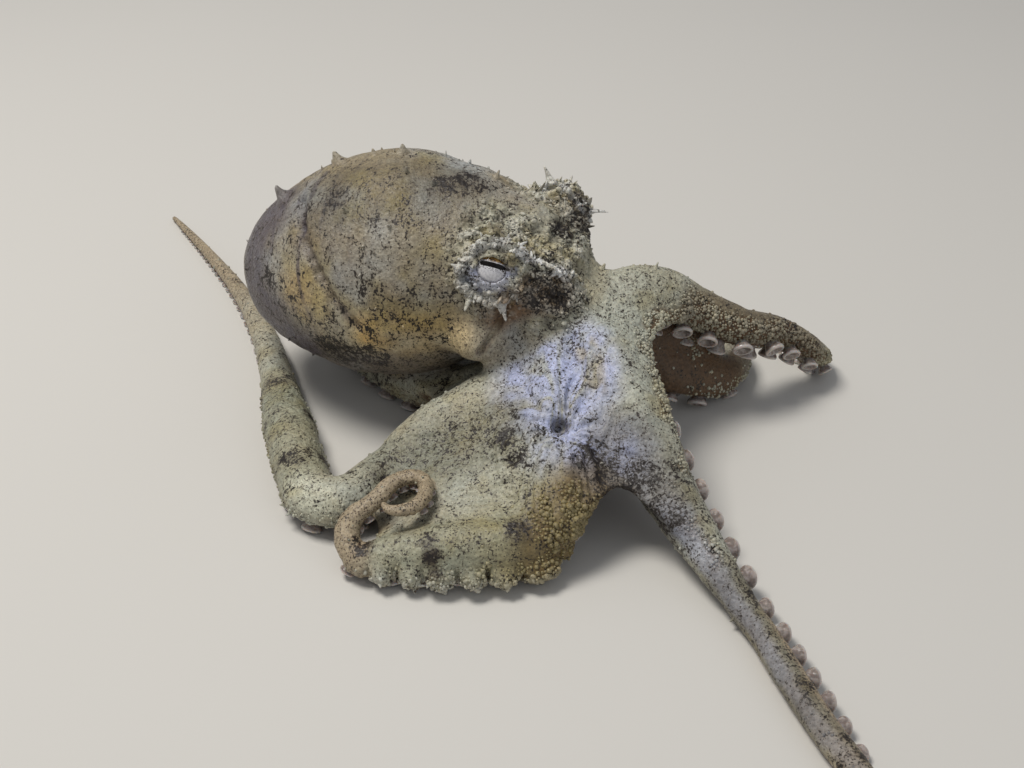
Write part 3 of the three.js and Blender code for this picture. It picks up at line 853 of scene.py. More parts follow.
# Broad differences in tone, partly painted shade and painted light that darken or lighten whole regions, such
# as the shaded arm ends, web sheet, mantle top and funnel edge groove, and partly the skin's own tints: a
# line through places, the distances over which the tone fades, and the tint
TONE_AND_PAINTED_SHADE = [
    ([(12, -8, 11), (16, -15, 8)], 2.5, 6.5, (0.42, 0.42, 0.45)),
    ([(23, -25, 4), (34, -42, 2), (40, -52, 2)], 3, 8, (0.4, 0.37, 0.34)),
    ([(23, 13, 14), (28, 15, 12), (37, 20, 9)], 3, 6, (0.31, 0.22, 0.14)),
    ([(8, -13, 8), (4, -16.6, 4)], 2.5, 6, (0.43, 0.28, 0.08)),
    ([(2, -17, 5), (-12, -17, 5)], 2, 5, (0.76, 0.76, 0.68)),
    ([(-3, -3, 11), (-12, -5, 6)], 2.5, 7, (0.51, 0.51, 0.47)),
    ([(-22, 16, 30), (-8, 15.6, 32)], 3, 7, (0.54, 0.53, 0.49)),
    ([(-16, 7, 15.5), (-8, 6, 16.5)], 1.5, 5, (1.62, 1.43, 1.05)),
    ([(-20, 11, 24), (-24, 14, 26)], 2, 5, (0.85, 0.82, 0.8)),
    ([(-12, 9, 26), (-10, 8, 20)], 2, 5, (0.92, 0.87, 0.78)),
    ([(-29.5, 14, 5), (-27.8, 7, 5.8), (-25, -2, 5.5)], 3, 6, (0.74, 0.74, 0.66)),
    ([(5.5, 18, 26), (8.5, 19.5, 24)], 2, 4, (0.5, 0.42, 0.36)),
    ([(-1.4, 6.4, 19.8), (2, 6.7, 21.6), (5, 7.3, 21.6)], 1.5, 3.4, (0.5, 0.29, 0.17)),
    ([(-24, 13, 19), (-19, 8.5, 16)], 2, 5, (1.5, 1.34, 1)),
    ([(-23.7, -8.2, 5.3), (-21, -11, 5)], 1.2, 3.6, (1.3, 1.27, 1.2)),
    (FUNNEL_EDGE, 0.2, 0.8, (0.4, 0.35, 0.33)),
]
# Dark bands: how far along each arm they lie, and how broad they are
BANDS = {
    "arm_R1": [(38.5, 1.1), (51, 1.4), (60, 1.2), (70, 1.2), (80, 1)],
    "arm_R3": [(29, 1.4), (41, 1.5), (50, 1.6), (58, 1.3), (67, 1.2), (78, 1), (90, 1)],
    "arm_L1": [(21, 1.2), (28, 1.4), (36, 1.6), (46, 1.2), (56, 1)],
    "arm_L2": [(16, 1.2), (26, 1.4), (37, 1.4), (48, 1), (60, 1)],
    "arm_L3": [(15, 1.2), (25, 1.3), (36, 1.3), (47, 1), (58, 1)],
    "arm_R4": [(14, 1.2), (24, 1.4), (35, 1.4), (46, 1.2), (58, 1), (72, 1)],
    "arm_L4": [(15, 1.2), (25, 1.3), (37, 1.4), (49, 1.2), (62, 1)],
}
# Dark blotches: where they are, the distances from there over which they fade, and how solid they are
BLOTCHES = [
    ((-16.2, -16.3, 4.3), 0.8, 2, 0.9),
    ((-9, -17.4, 6), 0.5, 1.5, 0.9),
    ((-8.4, -18.6, 4.6), 0.6, 1.6, 0.9),
    ((-8, -19.2, 3), 0.4, 1.4, 0.9),
    ((0.6, -16.7, 6.6), 0.7, 2.2, 0.8),
    ((-0.7, -5.1, 9.9), 0.4, 1.8, 0.15),
    ((0.4, -7.6, 9.2), 0.4, 1.9, 0.15),
    ((-20.7, 10.3, 11.3), 1, 4.5, 0.55),
    ((-17, 9, 11.5), 1, 4, 0.55),
    ((-7.9, 15.4, 31.2), 0.5, 3, 0.55),
    ((-5, 17, 30.5), 0.5, 3.4, 0.55),
    ((-20.5, 15.8, 29.2), 0.5, 2.2, 0.5),
    ((3.3, 6.8, 21.8), 1.4, 3.2, 0.45),
    ((6.4, 13.8, 26.4), 1, 2.8, 0.55),
    ((5.4, 7.4, 20.8), 0.8, 3, 0.4),
    ((8.2, 18.4, 24.6), 1.6, 3.4, 0.8),
    ((9.4, -9.6, 10.6), 1.5, 4.5, 0.3),
    ((13.5, -11.5, 9), 1, 4, 0.3),
    ((16.5, -14.2, 7), 0.8, 3.4, 0.3),
]


def mix(base, colour, share):
    """Each vertex's colour, a share of the way to another colour or to other colours."""
    share = np.clip(share, 0, 1)[:, None]
    return base * (1 - share) + np.asarray(colour) * share


def fringes(survey):
    """1 along the webs' outer edges and, more thinly, along the arms' sides, where the skin is granular."""
    p, along = survey.points, survey.along
    right = p[:, 0] + 0.5 * np.minimum(p[:, 1] + 6, 0)
    rim = smooth_step(1.9, 0.6, survey.edge + 0.9 * noise(p, 1.4, 45))
    rim = rim * survey.near(PIT, 22, 30) * smooth_step(12.5, 14.5, right)
    sides = smooth_step(0.45, 0.15, np.abs(np.abs(survey.angle) - 1.45)) * (1 - survey.on("arm_R1"))
    sides = sides * smooth_step(1.35, 1.15, survey.away)
    sides = sides * smooth_step(12, 20, along) * smooth_step(0.7, 0.4, along / survey.length)
    return np.maximum(rim, 0.25 * sides) * survey.limb


def skirt(survey):
    """1 along the lower edge of the coiled arm's broad part."""
    band = smooth_step(21, 24, survey.along) * smooth_step(47, 44, survey.along)
    front = smooth_step(-12.5, -14, survey.points[:, 1]) * smooth_step(4.4, 2.6, survey.points[:, 2])
    return survey.on("arm_R2") * band * front


def pebbles(survey):
    """1 on the pebbled skin: the raised left arm's outer face, and the coiled arm's end and lower edge."""
    p = survey.points
    patchy = smooth_step(-0.35, 0.15, clouds(p, 1.6, 2, 38))
    raised = survey.on("arm_L1") * smooth_step(11, 16, survey.along) * smooth_step(40, 32, survey.along)
    wavy = survey.angle + 0.35 * noise(p, 2, 47)
    raised = raised * smooth_step(2.2, 1.8, wavy) * (survey.angle > 0)
    end = survey.on("arm_R2") * survey.near((6.4, -14.8, 6), 2.5, 5.5)
    others = patchy * np.maximum(end, 0.8 * skirt(survey))
    return smooth_step(0.4, 0.65, np.abs(survey.angle)) * np.maximum(raised, others)


def dark_marks(survey):
    """How far each vertex is in a dark blotch or band, and how solid its dark is."""
    dark, solid = np.zeros(len(survey.points)), np.zeros(len(survey.points))
    for place, inner, outer, strength in BLOTCHES:
        blotch = survey.near(place, inner, outer)
        dark, solid = np.maximum(dark, blotch), np.maximum(solid, strength * blotch)
    wavy = survey.along + 1.8 * clouds(survey.points, 2, 2, 36)
    broken = smooth_step(-0.4, 0.3, clouds(survey.points, 2.4, 2, 37))
    for name, rows in BANDS.items():
        for place, breadth in rows:
            band = np.exp(-(((wavy - place) / breadth) ** 2)) * survey.on(name) * survey.upper
            dark, solid = np.maximum(dark, band * broken), np.maximum(solid, 0.5 * band * broken)
    return dark, solid


def oral_side_and_shade(survey, normals):
    """How far each vertex is on the brown mouth side of arms and webs, or in the painted shade on the fronts
    of the arms behind the raised left arm, and on the pinkish ends of arms.
    """
    limb, along, on = survey.limb, survey.along, survey.on
    oral = limb * smooth_step(1.2, 0.85, np.abs(survey.angle)) * smooth_step(4, 9, along)
    # Downward-facing skin near the crown: the mouth side, in a brown that is partly painted shade
    under = limb * smooth_step(-0.1, -0.5, normals[:, 2]) * survey.near(CROWN, 18, 26)
    inner = np.maximum(oral, under)
    inner = inner * (1 - 0.8 * on("arm_R2") * smooth_step(48, 56, along))
    # Painted shade: dark brown on the fronts of the two arms behind the raised left arm, low down near their
    # bases
    shaded = (on("arm_L2") + on("arm_L3")) * smooth_step(30, 20, along)
    shaded = shaded * smooth_step(0.3, -0.2, normals[:, 1])
    inner = np.maximum(inner, shaded * smooth_step(14.5, 12.5, survey.points[:, 2]))
    tip = limb * smooth_step(0.5, 0.85, along / survey.length)
    coil = on("arm_R2") * smooth_step(43, 47, along) * smooth_step(1.35, 1.15, survey.away)
    tip = np.maximum(tip * (1 - on("arm_R2")), coil)
    strip = smooth_step(36, 46, along) * smooth_step(2.2, 1.7, np.abs(survey.angle))
    tip = np.maximum(tip, on("arm_R1") * strip)
    return inner, tip


def markings(survey, normals):
    """Each vertex's ground colour and coat's colour, and how speckled, freckled and streaked it is."""
    p, near, near_line, on = survey.points, survey.near, survey.near_line, survey.on
    limb, head, mantle, along = survey.limb, survey.head, survey.mantle, survey.along
    patch = clouds(p, 5, 3, 30)
    small = clouds(p, 1.6, 3, 31)
    colour = mix(np.array([CREAM]), MINT, 0.45 + 0.8 * patch + 0.3 * small)
    speckle = 0.38 + 0.3 * clouds(p, 4, 3, 32)
    speckle += 0.2 * near_line([(-2, -3, 11), (-8, -4, 8), (-12, -5, 6)], 2, 6) * limb

    reach, bearing = survey.round_pit()
    rays = noise(np.stack([9 * bearing, reach / 9, 0 * reach], -1), 1, 43)
    lavender = near((4.5, 1, 15.5), 5.5, 10) + 0.8 * near((10.5, -9, 10), 2, 7)
    lavender += 0.6 * near((5, -8, 10), 2, 5)
    pale_rays = smooth_step(0, 0.6, rays) * smooth_step(14, 6, reach)
    lavender *= limb * (0.9 + 0.5 * small - 0.6 * pale_rays)
    colour = mix(colour, LAVENDER, lavender)
    crown_left = near((10, 7, 18), 5, 12) * limb * (1 - np.clip(lavender, 0, 1))
    colour = mix(colour, MINT, 0.7 * crown_left)
    olive = smooth_step(0, 0.55, clouds(p, 3.2, 3, 33))
    yellow = near_line([(8.2, 3.6, 17), (9, 1.2, 16), (9.4, -1.2, 14.2)], 0.8, 2)
    olive *= limb * (1 - np.clip(lavender, 0, 1))
    colour = mix(colour, OLIVE, 0.4 * olive)
    colour = mix(colour, YELLOWISH, 0.6 * yellow * smooth_step(-0.1, 0.4, small))

    fringe, pebbled = fringes(survey), pebbles(survey)
    coiled = near((3, -15.5, 5), 4, 11) * on("arm_R2")
    colour = mix(colour, OLIVE, 0.35 * fringe + 0.3 * pebbled + 0.35 * coiled)

    mantle_tone = mix(np.array([FAWN]), SILVER, 0.32 + 1.2 * clouds(p, 5, 3, 39))
    mantle_tone = mix(mantle_tone, OLIVE, 0.5 * smooth_step(0, 0.5, clouds(p, 4.5, 3, 41)))
    colour = mix(colour, mantle_tone, mantle)
    uneven = 1.6 * clouds(p, 3, 3, 48)
    rear = mantle * smooth_step(6.2, 2.2, line_distance(p, REAR_RIM, 8) + uneven)
    # Painted shade: the mantle's downward-facing skin, darkened towards DUSK
    lower = mantle * smooth_step(-0.25, -0.7, normals[:, 2] + 0.15 * small)
    colour = mix(colour, DUSK, 0.85 * rear + 0.45 * lower)
    lines = smooth_step(0.05, 0.45, clouds(survey.stretched(1.6, 0.3), 1.1, 3, 34))
    barred = np.exp(-(((survey.back - 0.66) / 0.13) ** 2)) * smooth_step(14, 18, p[:, 2]) + 0.2
    middle = on("arm_R1") * smooth_step(20, 28, along)
    middle = middle * smooth_step(2.2, 2.9, np.abs(survey.angle) + 0.3 * small)
    colour = mix(colour, LAVENDER, 0.45 * middle)
    speckle += 0.2 * on("arm_R1") * smooth_step(18, 26, along) - 0.35 * middle
    # Painted shade: darker along the mantle's fold groove
    creased = near_line(MANTLE_FOLD, 0.2, 1.2)
    colour = mix(colour, DUSK, (0.75 * lines * barred + 0.5 * creased) * mantle)
    low = smooth_step(22, 15, p[:, 2])
    uneven = clouds(p, 2.4, 2, 49)
    speckle += mantle * (0.05 + 0.3 * lines * barred + 0.12 * low + 0.3 * uneven)
    lobe = survey.body * near(FUNNEL["tip"], 2.6, 4.6)
    colour = mix(colour, PALE_FLESH, 0.8 * lobe)
    speckle -= 0.4 * lobe

    # Painted shade and painted light over broad regions, with the skin's own tints
    for line, inner, outer, tint_and_shade in TONE_AND_PAINTED_SHADE:
        share = near_line(line, inner, outer) * (0.8 + 0.4 * patch)
        colour = colour * (1 + np.clip(share, 0, 1)[:, None] * (np.array(tint_and_shade) - 1))

    colour = mix(colour, YELLOWISH, 0.6 * head * smooth_step(0, 0.4, clouds(p, 2.6, 2, 50)))
    colour = mix(colour, WHITE, 0.5 * head * smooth_step(0, 0.35, survey.lumps))
    colour = mix(colour, DARK, 0.6 * head * smooth_step(0, -0.4, survey.lumps))
    speckle += 0.12 * head
    bluish = near((-5, 7.4, 23.6), 0.8, 1.9)
    colour = mix(colour, SLATE, 0.85 * bluish * head)
    around_eye = near(eye_centre(EYE_RIGHT), EYE_RADIUS + 0.45, EYE_RADIUS + 1)
    colour = mix(colour, LAVENDER, 0.55 * around_eye * smooth_step(25.6, 24.6, p[:, 2]))

    ragged = 0.8 + 0.9 * clouds(p, 1.2, 3, 42)
    dark, solid = dark_marks(survey)
    colour = mix(colour, DARK, solid * ragged)
    speckle += 0.9 * dark * ragged
    # Painted shade in the web's pit: dark purple inside it and near black at one side
    colour = mix(colour, PIT_PURPLE_SHADE, 0.9 * near(PIT + (0.1, 0.5, -0.6), 0.5, 1.3))
    colour = mix(colour, DARK, 0.95 * near(PIT + (0.9, 0, 0), 0.35, 0.9))

    speckle += 0.4 * rays * limb * smooth_step(12, 5, reach)

    broken = smooth_step(-0.5, 0.2, clouds(p, 1.3, 2, 53))
    for line, paleness in zip(BROW, (0.55, 1, 0.5, 1, 0.9)):
        colour = mix(colour, FROST, paleness * broken * near_line(line, 0.4, 0.95))
    edge_of_skirt = skirt(survey) * smooth_step(3, 1.6, p[:, 2])
    raised = pebbled * on("arm_L1")
    coat = mix(colour, CREAM, 0.6 * raised * smooth_step(32, 17, along))
    coat = mix(coat, WHITE, 0.15 * fringe + 0.05 * pebbled + 0.5 * edge_of_skirt)
    coat = mix(coat, OLIVE, 0.5 * coiled)
    gaps = np.maximum(fringe, pebbled) * (1 - 0.5 * on("arm_R2"))
    colour = mix(colour, ORAL_BROWN_AND_SHADE, 0.7 * gaps + 0.25 * raised)
    colour = mix(colour, WHITE, 0.35 * edge_of_skirt * smooth_step(0, 0.5, small))

    # The mouth side and the painted shade behind the raised left arm in dark brown, then the pinkish arm ends
    inner, tip = oral_side_and_shade(survey, normals)
    colour = mix(mix(colour, ORAL_BROWN_AND_SHADE, 0.96 * inner), PINK_BROWN, 0.85 * tip)
    speckle = np.clip(speckle - 0.3 * inner - 0.2 * tip, 0, 1.3)
    freckle = np.maximum(tip, 0.6 * lobe)
    return np.clip(colour, 0, 1), np.clip(coat, 0, 1), speckle, freckle, mantle


# Pieces


def place_object(name, data):
    made = bpy.data.objects.new(name, data)
    bpy.context.scene.collection.objects.link(made)
    return made


def make_object(name, vertices, faces, material):
    mesh = bpy.data.meshes.new(name)
    mesh.from_pydata((vertices + SHIFT) * MM, [], tidy_faces(faces))
    mesh.polygons.foreach_set("use_smooth", np.ones(len(mesh.polygons), bool))
    mesh.update()
    mesh.materials.append(material)
    made = place_object(name, mesh)
    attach(made, "root")
    return made


def store(made, **layers):
    """Keeps a number for each vertex under each name, for the piece's material."""
    for name, values in layers.items():
        layer = made.data.attributes.new(name, "FLOAT", "POINT")
        layer.data.foreach_set("value", np.asarray(values, np.float32))


def paint(made, colour, **layers):
    """Stores the markings on a piece."""
    rgba = np.ones((len(made.data.vertices), 4), np.float32)
    rgba[:, :3] = colour
    made.data.attributes.new("ground", "FLOAT_COLOR", "POINT").data.foreach_set("color", rgba.ravel())
    store(made, **layers)


def set_bake_map(made, places):
    """A UV map for the bake, given each vertex's place."""
    layer = made.data.uv_layers.new(name="OFBake")
    corner = np.empty(len(made.data.loops), np.int32)
    made.data.loops.foreach_get("vertex_index", corner)
    layer.data.foreach_set("uv", places[corner].astype(np.float32).ravel())


def bud(sides, profile):
    """A small closed shape of rings about +Z, from rows of (radius, height)."""
    turn = np.linspace(0, 2 * np.pi, sides, endpoint=False)
    vertices = [(r * np.cos(t), r * np.sin(t), h) for r, h in profile[1:-1] for t in turn]
    vertices += [(0, 0, profile[0][1]), (0, 0, profile[-1][1])]
    rings = np.arange(len(vertices) - 2).reshape(-1, sides)
    after = np.roll(rings, -1, 1)
    bottom, top = np.full(sides, len(vertices) - 2), np.full(sides, len(vertices) - 1)
    faces = [np.stack([rings[k], after[k], after[k + 1], rings[k + 1]], -1) for k in range(len(rings) - 1)]
    faces.append(np.stack([rings[-1], after[-1], top, top], -1))
    faces.append(np.stack([after[0], rings[0], bottom, bottom], -1))
    return np.array(vertices, float), np.vstack(faces)


def plant(template, roots, outs, widths, heights, leans, flats=1.0, turns=None):
    """Copies of a template at the roots, standing along the outs and leaning over: vertices and faces."""
    shape, faces = template
    count = len(roots)
    turns = np.zeros(count) if turns is None else turns
    helper = np.where(np.abs(outs[:, 2:]) > 0.9, [[1.0, 0, 0]], [[0, 0, 1.0]])
    side = unit(np.cross(outs, helper))
    other = np.cross(outs, side)
    u = side * np.cos(turns)[:, None] + other * np.sin(turns)[:, None]
    v = np.cross(outs, u)
    x = shape[None, :, 0] * widths[:, None]
    y = shape[None, :, 1] * (widths * flats)[:, None]
    z = shape[None, :, 2] * heights[:, None]
    bent = np.maximum(shape[None, :, 2], 0) ** 2
    vertices = roots[:, None] + x[..., None] * u[:, None] + y[..., None] * v[:, None]
    vertices = vertices + z[..., None] * outs[:, None] + bent[..., None] * leans[:, None]
    every = len(shape) * np.arange(count)[:, None, None]
    all_faces = (faces[None] + every).reshape(-1, faces.shape[1])
    return vertices.reshape(-1, 3), all_faces


def tidy_faces(faces):
    """Faces as lists, with a repeated last corner left out."""
    return [f[:3] if f[2] == f[3] else f for f in faces.tolist()]


def unwrap(survey):
    """Each skin vertex's place on a plan of the skin: a strip for each arm, and one for the body."""
    strips = len(arms) + 3
    limb_u = 0.02 + 0.96 * survey.along / survey.length
    limb_v = (survey.arm + 0.5 + 0.45 * survey.angle / np.pi) / strips
    centre = (NECK + HIND_TIP) / 2
    offset = survey.points - centre
    azimuth = np.arctan2(offset[:, 1], offset[:, 0])
    rise = np.arctan2(offset[:, 2], np.hypot(offset[:, 0], offset[:, 1]))
    body_u = 0.5 + 0.48 * azimuth / np.pi
    body_v = (len(arms) + 1.5 + 1.4 * rise / (np.pi / 2)) / strips
    on_body = survey.body > 0.5
    return np.stack([np.where(on_body, body_u, limb_u), np.where(on_body, body_v, limb_v)], -1)


def choose(points, weights, count, spacing, seed):
    """Vertices picked at random by weight, none nearer to another than the spacing."""
    random = np.random.default_rng(seed)
    share = np.maximum(weights, 0)
    tries = min(count * 5, int((share > 0).sum()))
    picked = random.choice(len(points), size=tries, replace=False, p=share / share.sum())
    cells = np.floor(points[picked] / spacing).astype(int)
    steps = [np.array(step) - 1 for step in np.ndindex(3, 3, 3)]
    taken, kept = {}, []
    for i, cell in zip(picked, cells):
        others = [taken[key] for key in (tuple(cell + step) for step in steps) if key in taken]
        if all(np.sum((points[i] - points[j]) ** 2) > spacing**2 for j in others):
            taken[tuple(cell)] = i
            kept.append(i)
            if len(kept) == count:
                break
    return np.array(kept)


GRANULE = bud(6, [(0, -0.5), (1.05, -0.4), (1, 0.15), (0.7, 0.68), (0, 0.95)])
PAPILLA = bud(6, [(0, -0.5), (1.3, -0.4), (0.95, 0.08), (0.66, 0.42), (0.42, 0.78), (0, 1.0)])
RAG = bud(8, [(0, -0.5), (1.2, -0.4), (1.05, 0.1), (0.95, 0.45), (0.62, 0.8), (0, 1.0)])
HORN = bud(
    9,
    [(0, -0.3), (1.7, -0.25), (1.2, 0), (0.86, 0.2), (0.62, 0.4), (0.46, 0.6), (0.34, 0.78),
     (0.22, 0.93), (0, 1.0)],
)
SUCKER = bud(
    16,
    [(0, -1.25), (0.66, -1.2), (0.66, 0), (0.8, 0.3), (0.97, 0.62), (1.0, 0.82), (0.94, 0.95), (0.82, 1.0),
     (0.68, 0.92), (0.48, 0.7), (0.22, 0.58), (0, 0.56)],
)


def coat_piece(name, template, chosen, sizes, look, lighter):
    """A joined piece of granules or papillae on the chosen vertices, marked like the skin under them."""
    widths, heights, leans, flats, turns = sizes
    roots, outs = look["points"][chosen], look["normals"][chosen]
    vertices, faces = plant(template, roots, outs, widths, heights, leans, flats, turns)
    vertices[:, 2] = np.maximum(vertices[:, 2], 0)
    made = make_object(name, vertices, faces, look["material"])
    per = len(template[0])
    tone = np.repeat(look["coat"][chosen], per, 0)
    rise = np.tile(np.clip(template[0][:, 2], 0, 1), len(chosen))
    tone = mix(tone, WHITE, lighter * rise)
    layers = {key: np.repeat(values[chosen], per) for key, values in look["layers"].items()}
    layers["speckle"] = layers["speckle"] * (0.75 - 0.45 * rise)
    paint(made, tone, **layers)
    root = np.repeat(look["places"][chosen], per, 0)
    set_bake_map(made, root + 0.0015 * np.tile(template[0][:, :2], (len(chosen), 1)))
    return made


def off_eyes(survey):
    """0 on the eyes and their lids' rims, 1 elsewhere."""
    right, left = (survey.near(eye_centre(eye), 2.9, 3.6) for eye in (EYE_RIGHT, EYE_LEFT))
    return (1 - right) * (1 - left)


def strewn(random, heights, lean, flats):
    """Random leans, flatnesses between two limits, and turns."""
    count = len(heights)
    leans = random.normal(0, lean, (count, 3)) * heights[:, None]
    return leans, random.uniform(*flats, count), random.uniform(0, np.pi, count)


def add_granules(survey, look):
    """Granules along the fringes and on the pebbled skin, and a few elsewhere."""
    random = np.random.default_rng(SEED + 40)
    fringe, pebbled = fringes(survey), pebbles(survey)
    weights = 1.5 * fringe**2 + (1.5 + 2 * survey.on("arm_L1")) * pebbled**2 + 0.003 * survey.limb
    weights = weights * (0.35 + smooth_step(-0.3, 0.2, clouds(survey.points, 1.2, 2, 52)))
    weights = weights * (survey.points[:, 2] > 0.6)
    chosen = choose(survey.points, weights, count=5300, spacing=0.31, seed=SEED + 41)
    swell = (1 + 0.3 * pebbled + 0.4 * fringe) * (1 + 0.4 * survey.on("arm_R2") * pebbled)
    widths = (0.09 + 0.16 * random.power(0.6, len(chosen))) * swell[chosen]
    heights = widths * random.uniform(0.7, 1.3, len(chosen))
    sizes = (widths, heights, np.zeros((len(chosen), 3)), np.ones(len(chosen)), None)
    coat_piece("skin_granules", GRANULE, chosen, sizes, look, lighter=0.1)


def add_head_warts(survey, look):
    """Low warts of all sizes, crowded on the head's lumps."""
    random = np.random.default_rng(SEED + 45)
    crest = survey.head * smooth_step(-0.6, 0.1, look["normals"][:, 2]) * smooth_step(0, 0.35, survey.lumps)
    crest = crest * (1 - survey.near((3.6, 6.8, 21.6), 2.5, 4))
    weights = (crest + 0.01 * survey.head) * off_eyes(survey)
    chosen = choose(survey.points, weights, count=520, spacing=0.5, seed=SEED + 46)
    widths = 0.13 + 0.3 * random.power(0.5, len(chosen))
    heights = widths * random.uniform(0.4, 0.9, len(chosen))
    sizes = (widths, heights, *strewn(random, heights, lean=0.25, flats=(0.5, 1)))
    coat_piece("skin_warts", GRANULE, chosen, sizes, look, lighter=0.25)


def add_papillae(survey, look):
    """Small blunt papillae along the fringes and the coiled arm's lower edge, with a few on the head."""
    random = np.random.default_rng(SEED + 50)
    crest = survey.head * smooth_step(-0.5, 0.1, look["normals"][:, 2])
    edge = skirt(survey) * smooth_step(2.8, 1.6, survey.points[:, 2])
    weights = 0.3 * fringes(survey) ** 2 + 0.08 * crest + 0.35 * edge + 0.002 * (1 + survey.mantle)
    weights *= (survey.points[:, 2] > 0.5) * off_eyes(survey)
    chosen = choose(survey.points, weights, count=520, spacing=0.7, seed=SEED + 51)
    heights = random.uniform(0.2, 0.5, len(chosen)) * (1 + 0.4 * edge[chosen])
    widths = heights * random.uniform(0.4, 0.7, len(chosen)) * (1 + 0.6 * edge[chosen])
    sizes = (widths, heights, *strewn(random, heights, lean=0.3, flats=(0.35, 1)))
    coat_piece("skin_papillae", PAPILLA, chosen, sizes, look, lighter=0.35)


def nearest_vertex(points, place):
    return int(np.argmin(np.linalg.norm(points - np.asarray(place), axis=1)))


def add_tatters(look):
    """The ragged flat papillae that stand along the brows and lids."""
    random = np.random.default_rng(SEED + 60)
    places = np.vstack([spline(line, 9) for line in BROW])
    places = places + random.normal(0, 0.22, places.shape)
    chosen = np.unique([nearest_vertex(look["points"], place) for place in places])
    heights = random.uniform(0.2, 0.75, len(chosen))
    widths = random.uniform(0.2, 0.5, len(chosen))
    sizes = (widths, heights, *strewn(random, heights, lean=0.5, flats=(0.3, 0.7)))
    coat_piece("skin_tatters", RAG, chosen, sizes, look, lighter=0.3)


# Large papillae: near where each stands, its tip's lean, its height, its root's radius, and how flat it is
HORNS = [
    ((-27.6, 22.8, 25.8), (0.1, 0, 0.6), 1.5, 1.3, 0.8),
    ((-20.7, 23.8, 30), (-0.1, 0, 0.3), 1.3, 1.15, 0.8),
    ((-12.9, 22.5, 32), (-0.2, 0, 0.2), 1, 0.9, 0.8),
    ((-16.5, 23, 31.4), (-0.1, 0, 0.2), 0.7, 0.6, 0.8),
    ((-9, 15.8, 31.4), (0, -0.2, 0.2), 0.8, 0.5, 0.8),
    ((-0.5, 20, 33), (0, 0, 0.2), 0.9, 0.5, 0.8),
    ((-12.3, 17.4, 32), (0, 0, 0.1), 0.8, 0.4, 0.8),
    ((-19.2, 13.6, 28.9), (-0.2, -0.2, 0.1), 0.7, 0.45, 0.8),
    ((-2.5, 10.2, 28.3), (0, -0.2, 0.2), 1.1, 0.6, 0.8),
    ((4.2, 21, 29.5), (-0.25, 0, 0.3), 1.7, 0.55, 0.7),
    ((9, 20, 25.2), (0.9, -0.3, -0.5), 1.7, 0.5, 0.7),
    ((8.8, 19.5, 23.6), (0.8, -0.2, 0.2), 0.8, 0.35, 0.7),
    ((6.8, 21, 28.4), (0.3, 0, 0.3), 0.9, 0.4, 0.7),
    ((2, 20, 28), (-0.3, 0, 0.2), 0.8, 0.4, 0.7),
    ((-4.8, 6.4, 21.3), (-0.5, -0.3, -0.9), 1.2, 0.6, 0.6),
    ((-4.2, 6.4, 21.4), (0.3, -0.3, -0.7), 0.8, 0.45, 0.6),
    ((-1.6, 6.1, 21), (-0.2, -0.3, -0.8), 0.8, 0.5, 0.6),
    ((-1.1, 6.1, 21), (0.3, -0.3, -1), 1.3, 0.6, 0.6),
    ((0.4, 6.4, 22), (0.6, -0.3, -0.6), 0.7, 0.4, 0.6),
    ((-6, 7.7, 24.5), (-0.5, -0.3, 0.1), 0.7, 0.45, 0.9),
    ((2, 7.6, 26), (0.3, -0.6, 0.3), 0.9, 0.4, 0.5),
    ((4.4, 8, 24.4), (0.7, -0.5, 0.1), 0.9, 0.4, 0.5),
    ((-3, 8.6, 27.8), (-0.1, -0.5, 0.3), 0.8, 0.4, 0.5),
    ((10.8, 14, 21.2), (0.1, 0, 0.3), 0.7, 0.45, 0.8),
    ((17, 15, 20), (0.2, 0, 0.3), 0.7, 0.35, 0.8),
]


def add_horns(look):
    """The large papillae, each turned a little from the last."""
    chosen = np.array([nearest_vertex(look["points"], place) for place, *_ in HORNS])
    leans, heights, widths, flats = (np.array(column, float) for column in list(zip(*HORNS))[1:])
    turns = np.arange(len(HORNS)) * 1.3 * (flats > 0.6)
    sizes = (widths, heights, leans * 0.6 * heights[:, None], flats, turns)
    coat_piece("skin_horns", HORN, chosen, sizes, look, lighter=0.3)


# Suckers: their size and places, as shares of the arm's radius and the sucker's own
SUCKER_SHARE = 0.47
LARGE_SUCKERS = {"arm_R1": 0.64}  # the share on arms whose suckers are larger
LARGEST_SUCKER = 1.3
SUCKER_SPACING = 1.45
SUCKER_DEPTH = 0.85
SUCKER_SPREAD = math.radians(30)
SUCKER_ROOT = 0.72
SUCKER_START = 7
SUCKER_END = 3.5


def sucker_rows(arm):
    """Where an arm's suckers stand, the way they face, and their radii."""
    roots, outs, sizes = [], [], []
    distance, row = SUCKER_START, 1
    while distance < arm.length - SUCKER_END:
        i = arm.index(distance)
        radius = min(LARGE_SUCKERS.get(arm.name, SUCKER_SHARE) * arm.radius[i], LARGEST_SUCKER)
        out = arm.towards(arm.roll + row * SUCKER_SPREAD)[i]
        root = SUCKER_ROOT + 0.26 * (arm.roll[i] < 0)
        roots.append(arm.points[i] + root * arm.radius[i] * out)
        outs.append(unit(out - (0, 0, 0.3 * (arm.roll[i] > 0))))
        sizes.append(radius)
        distance += SUCKER_SPACING * radius
        row = -row
    return roots, outs, sizes


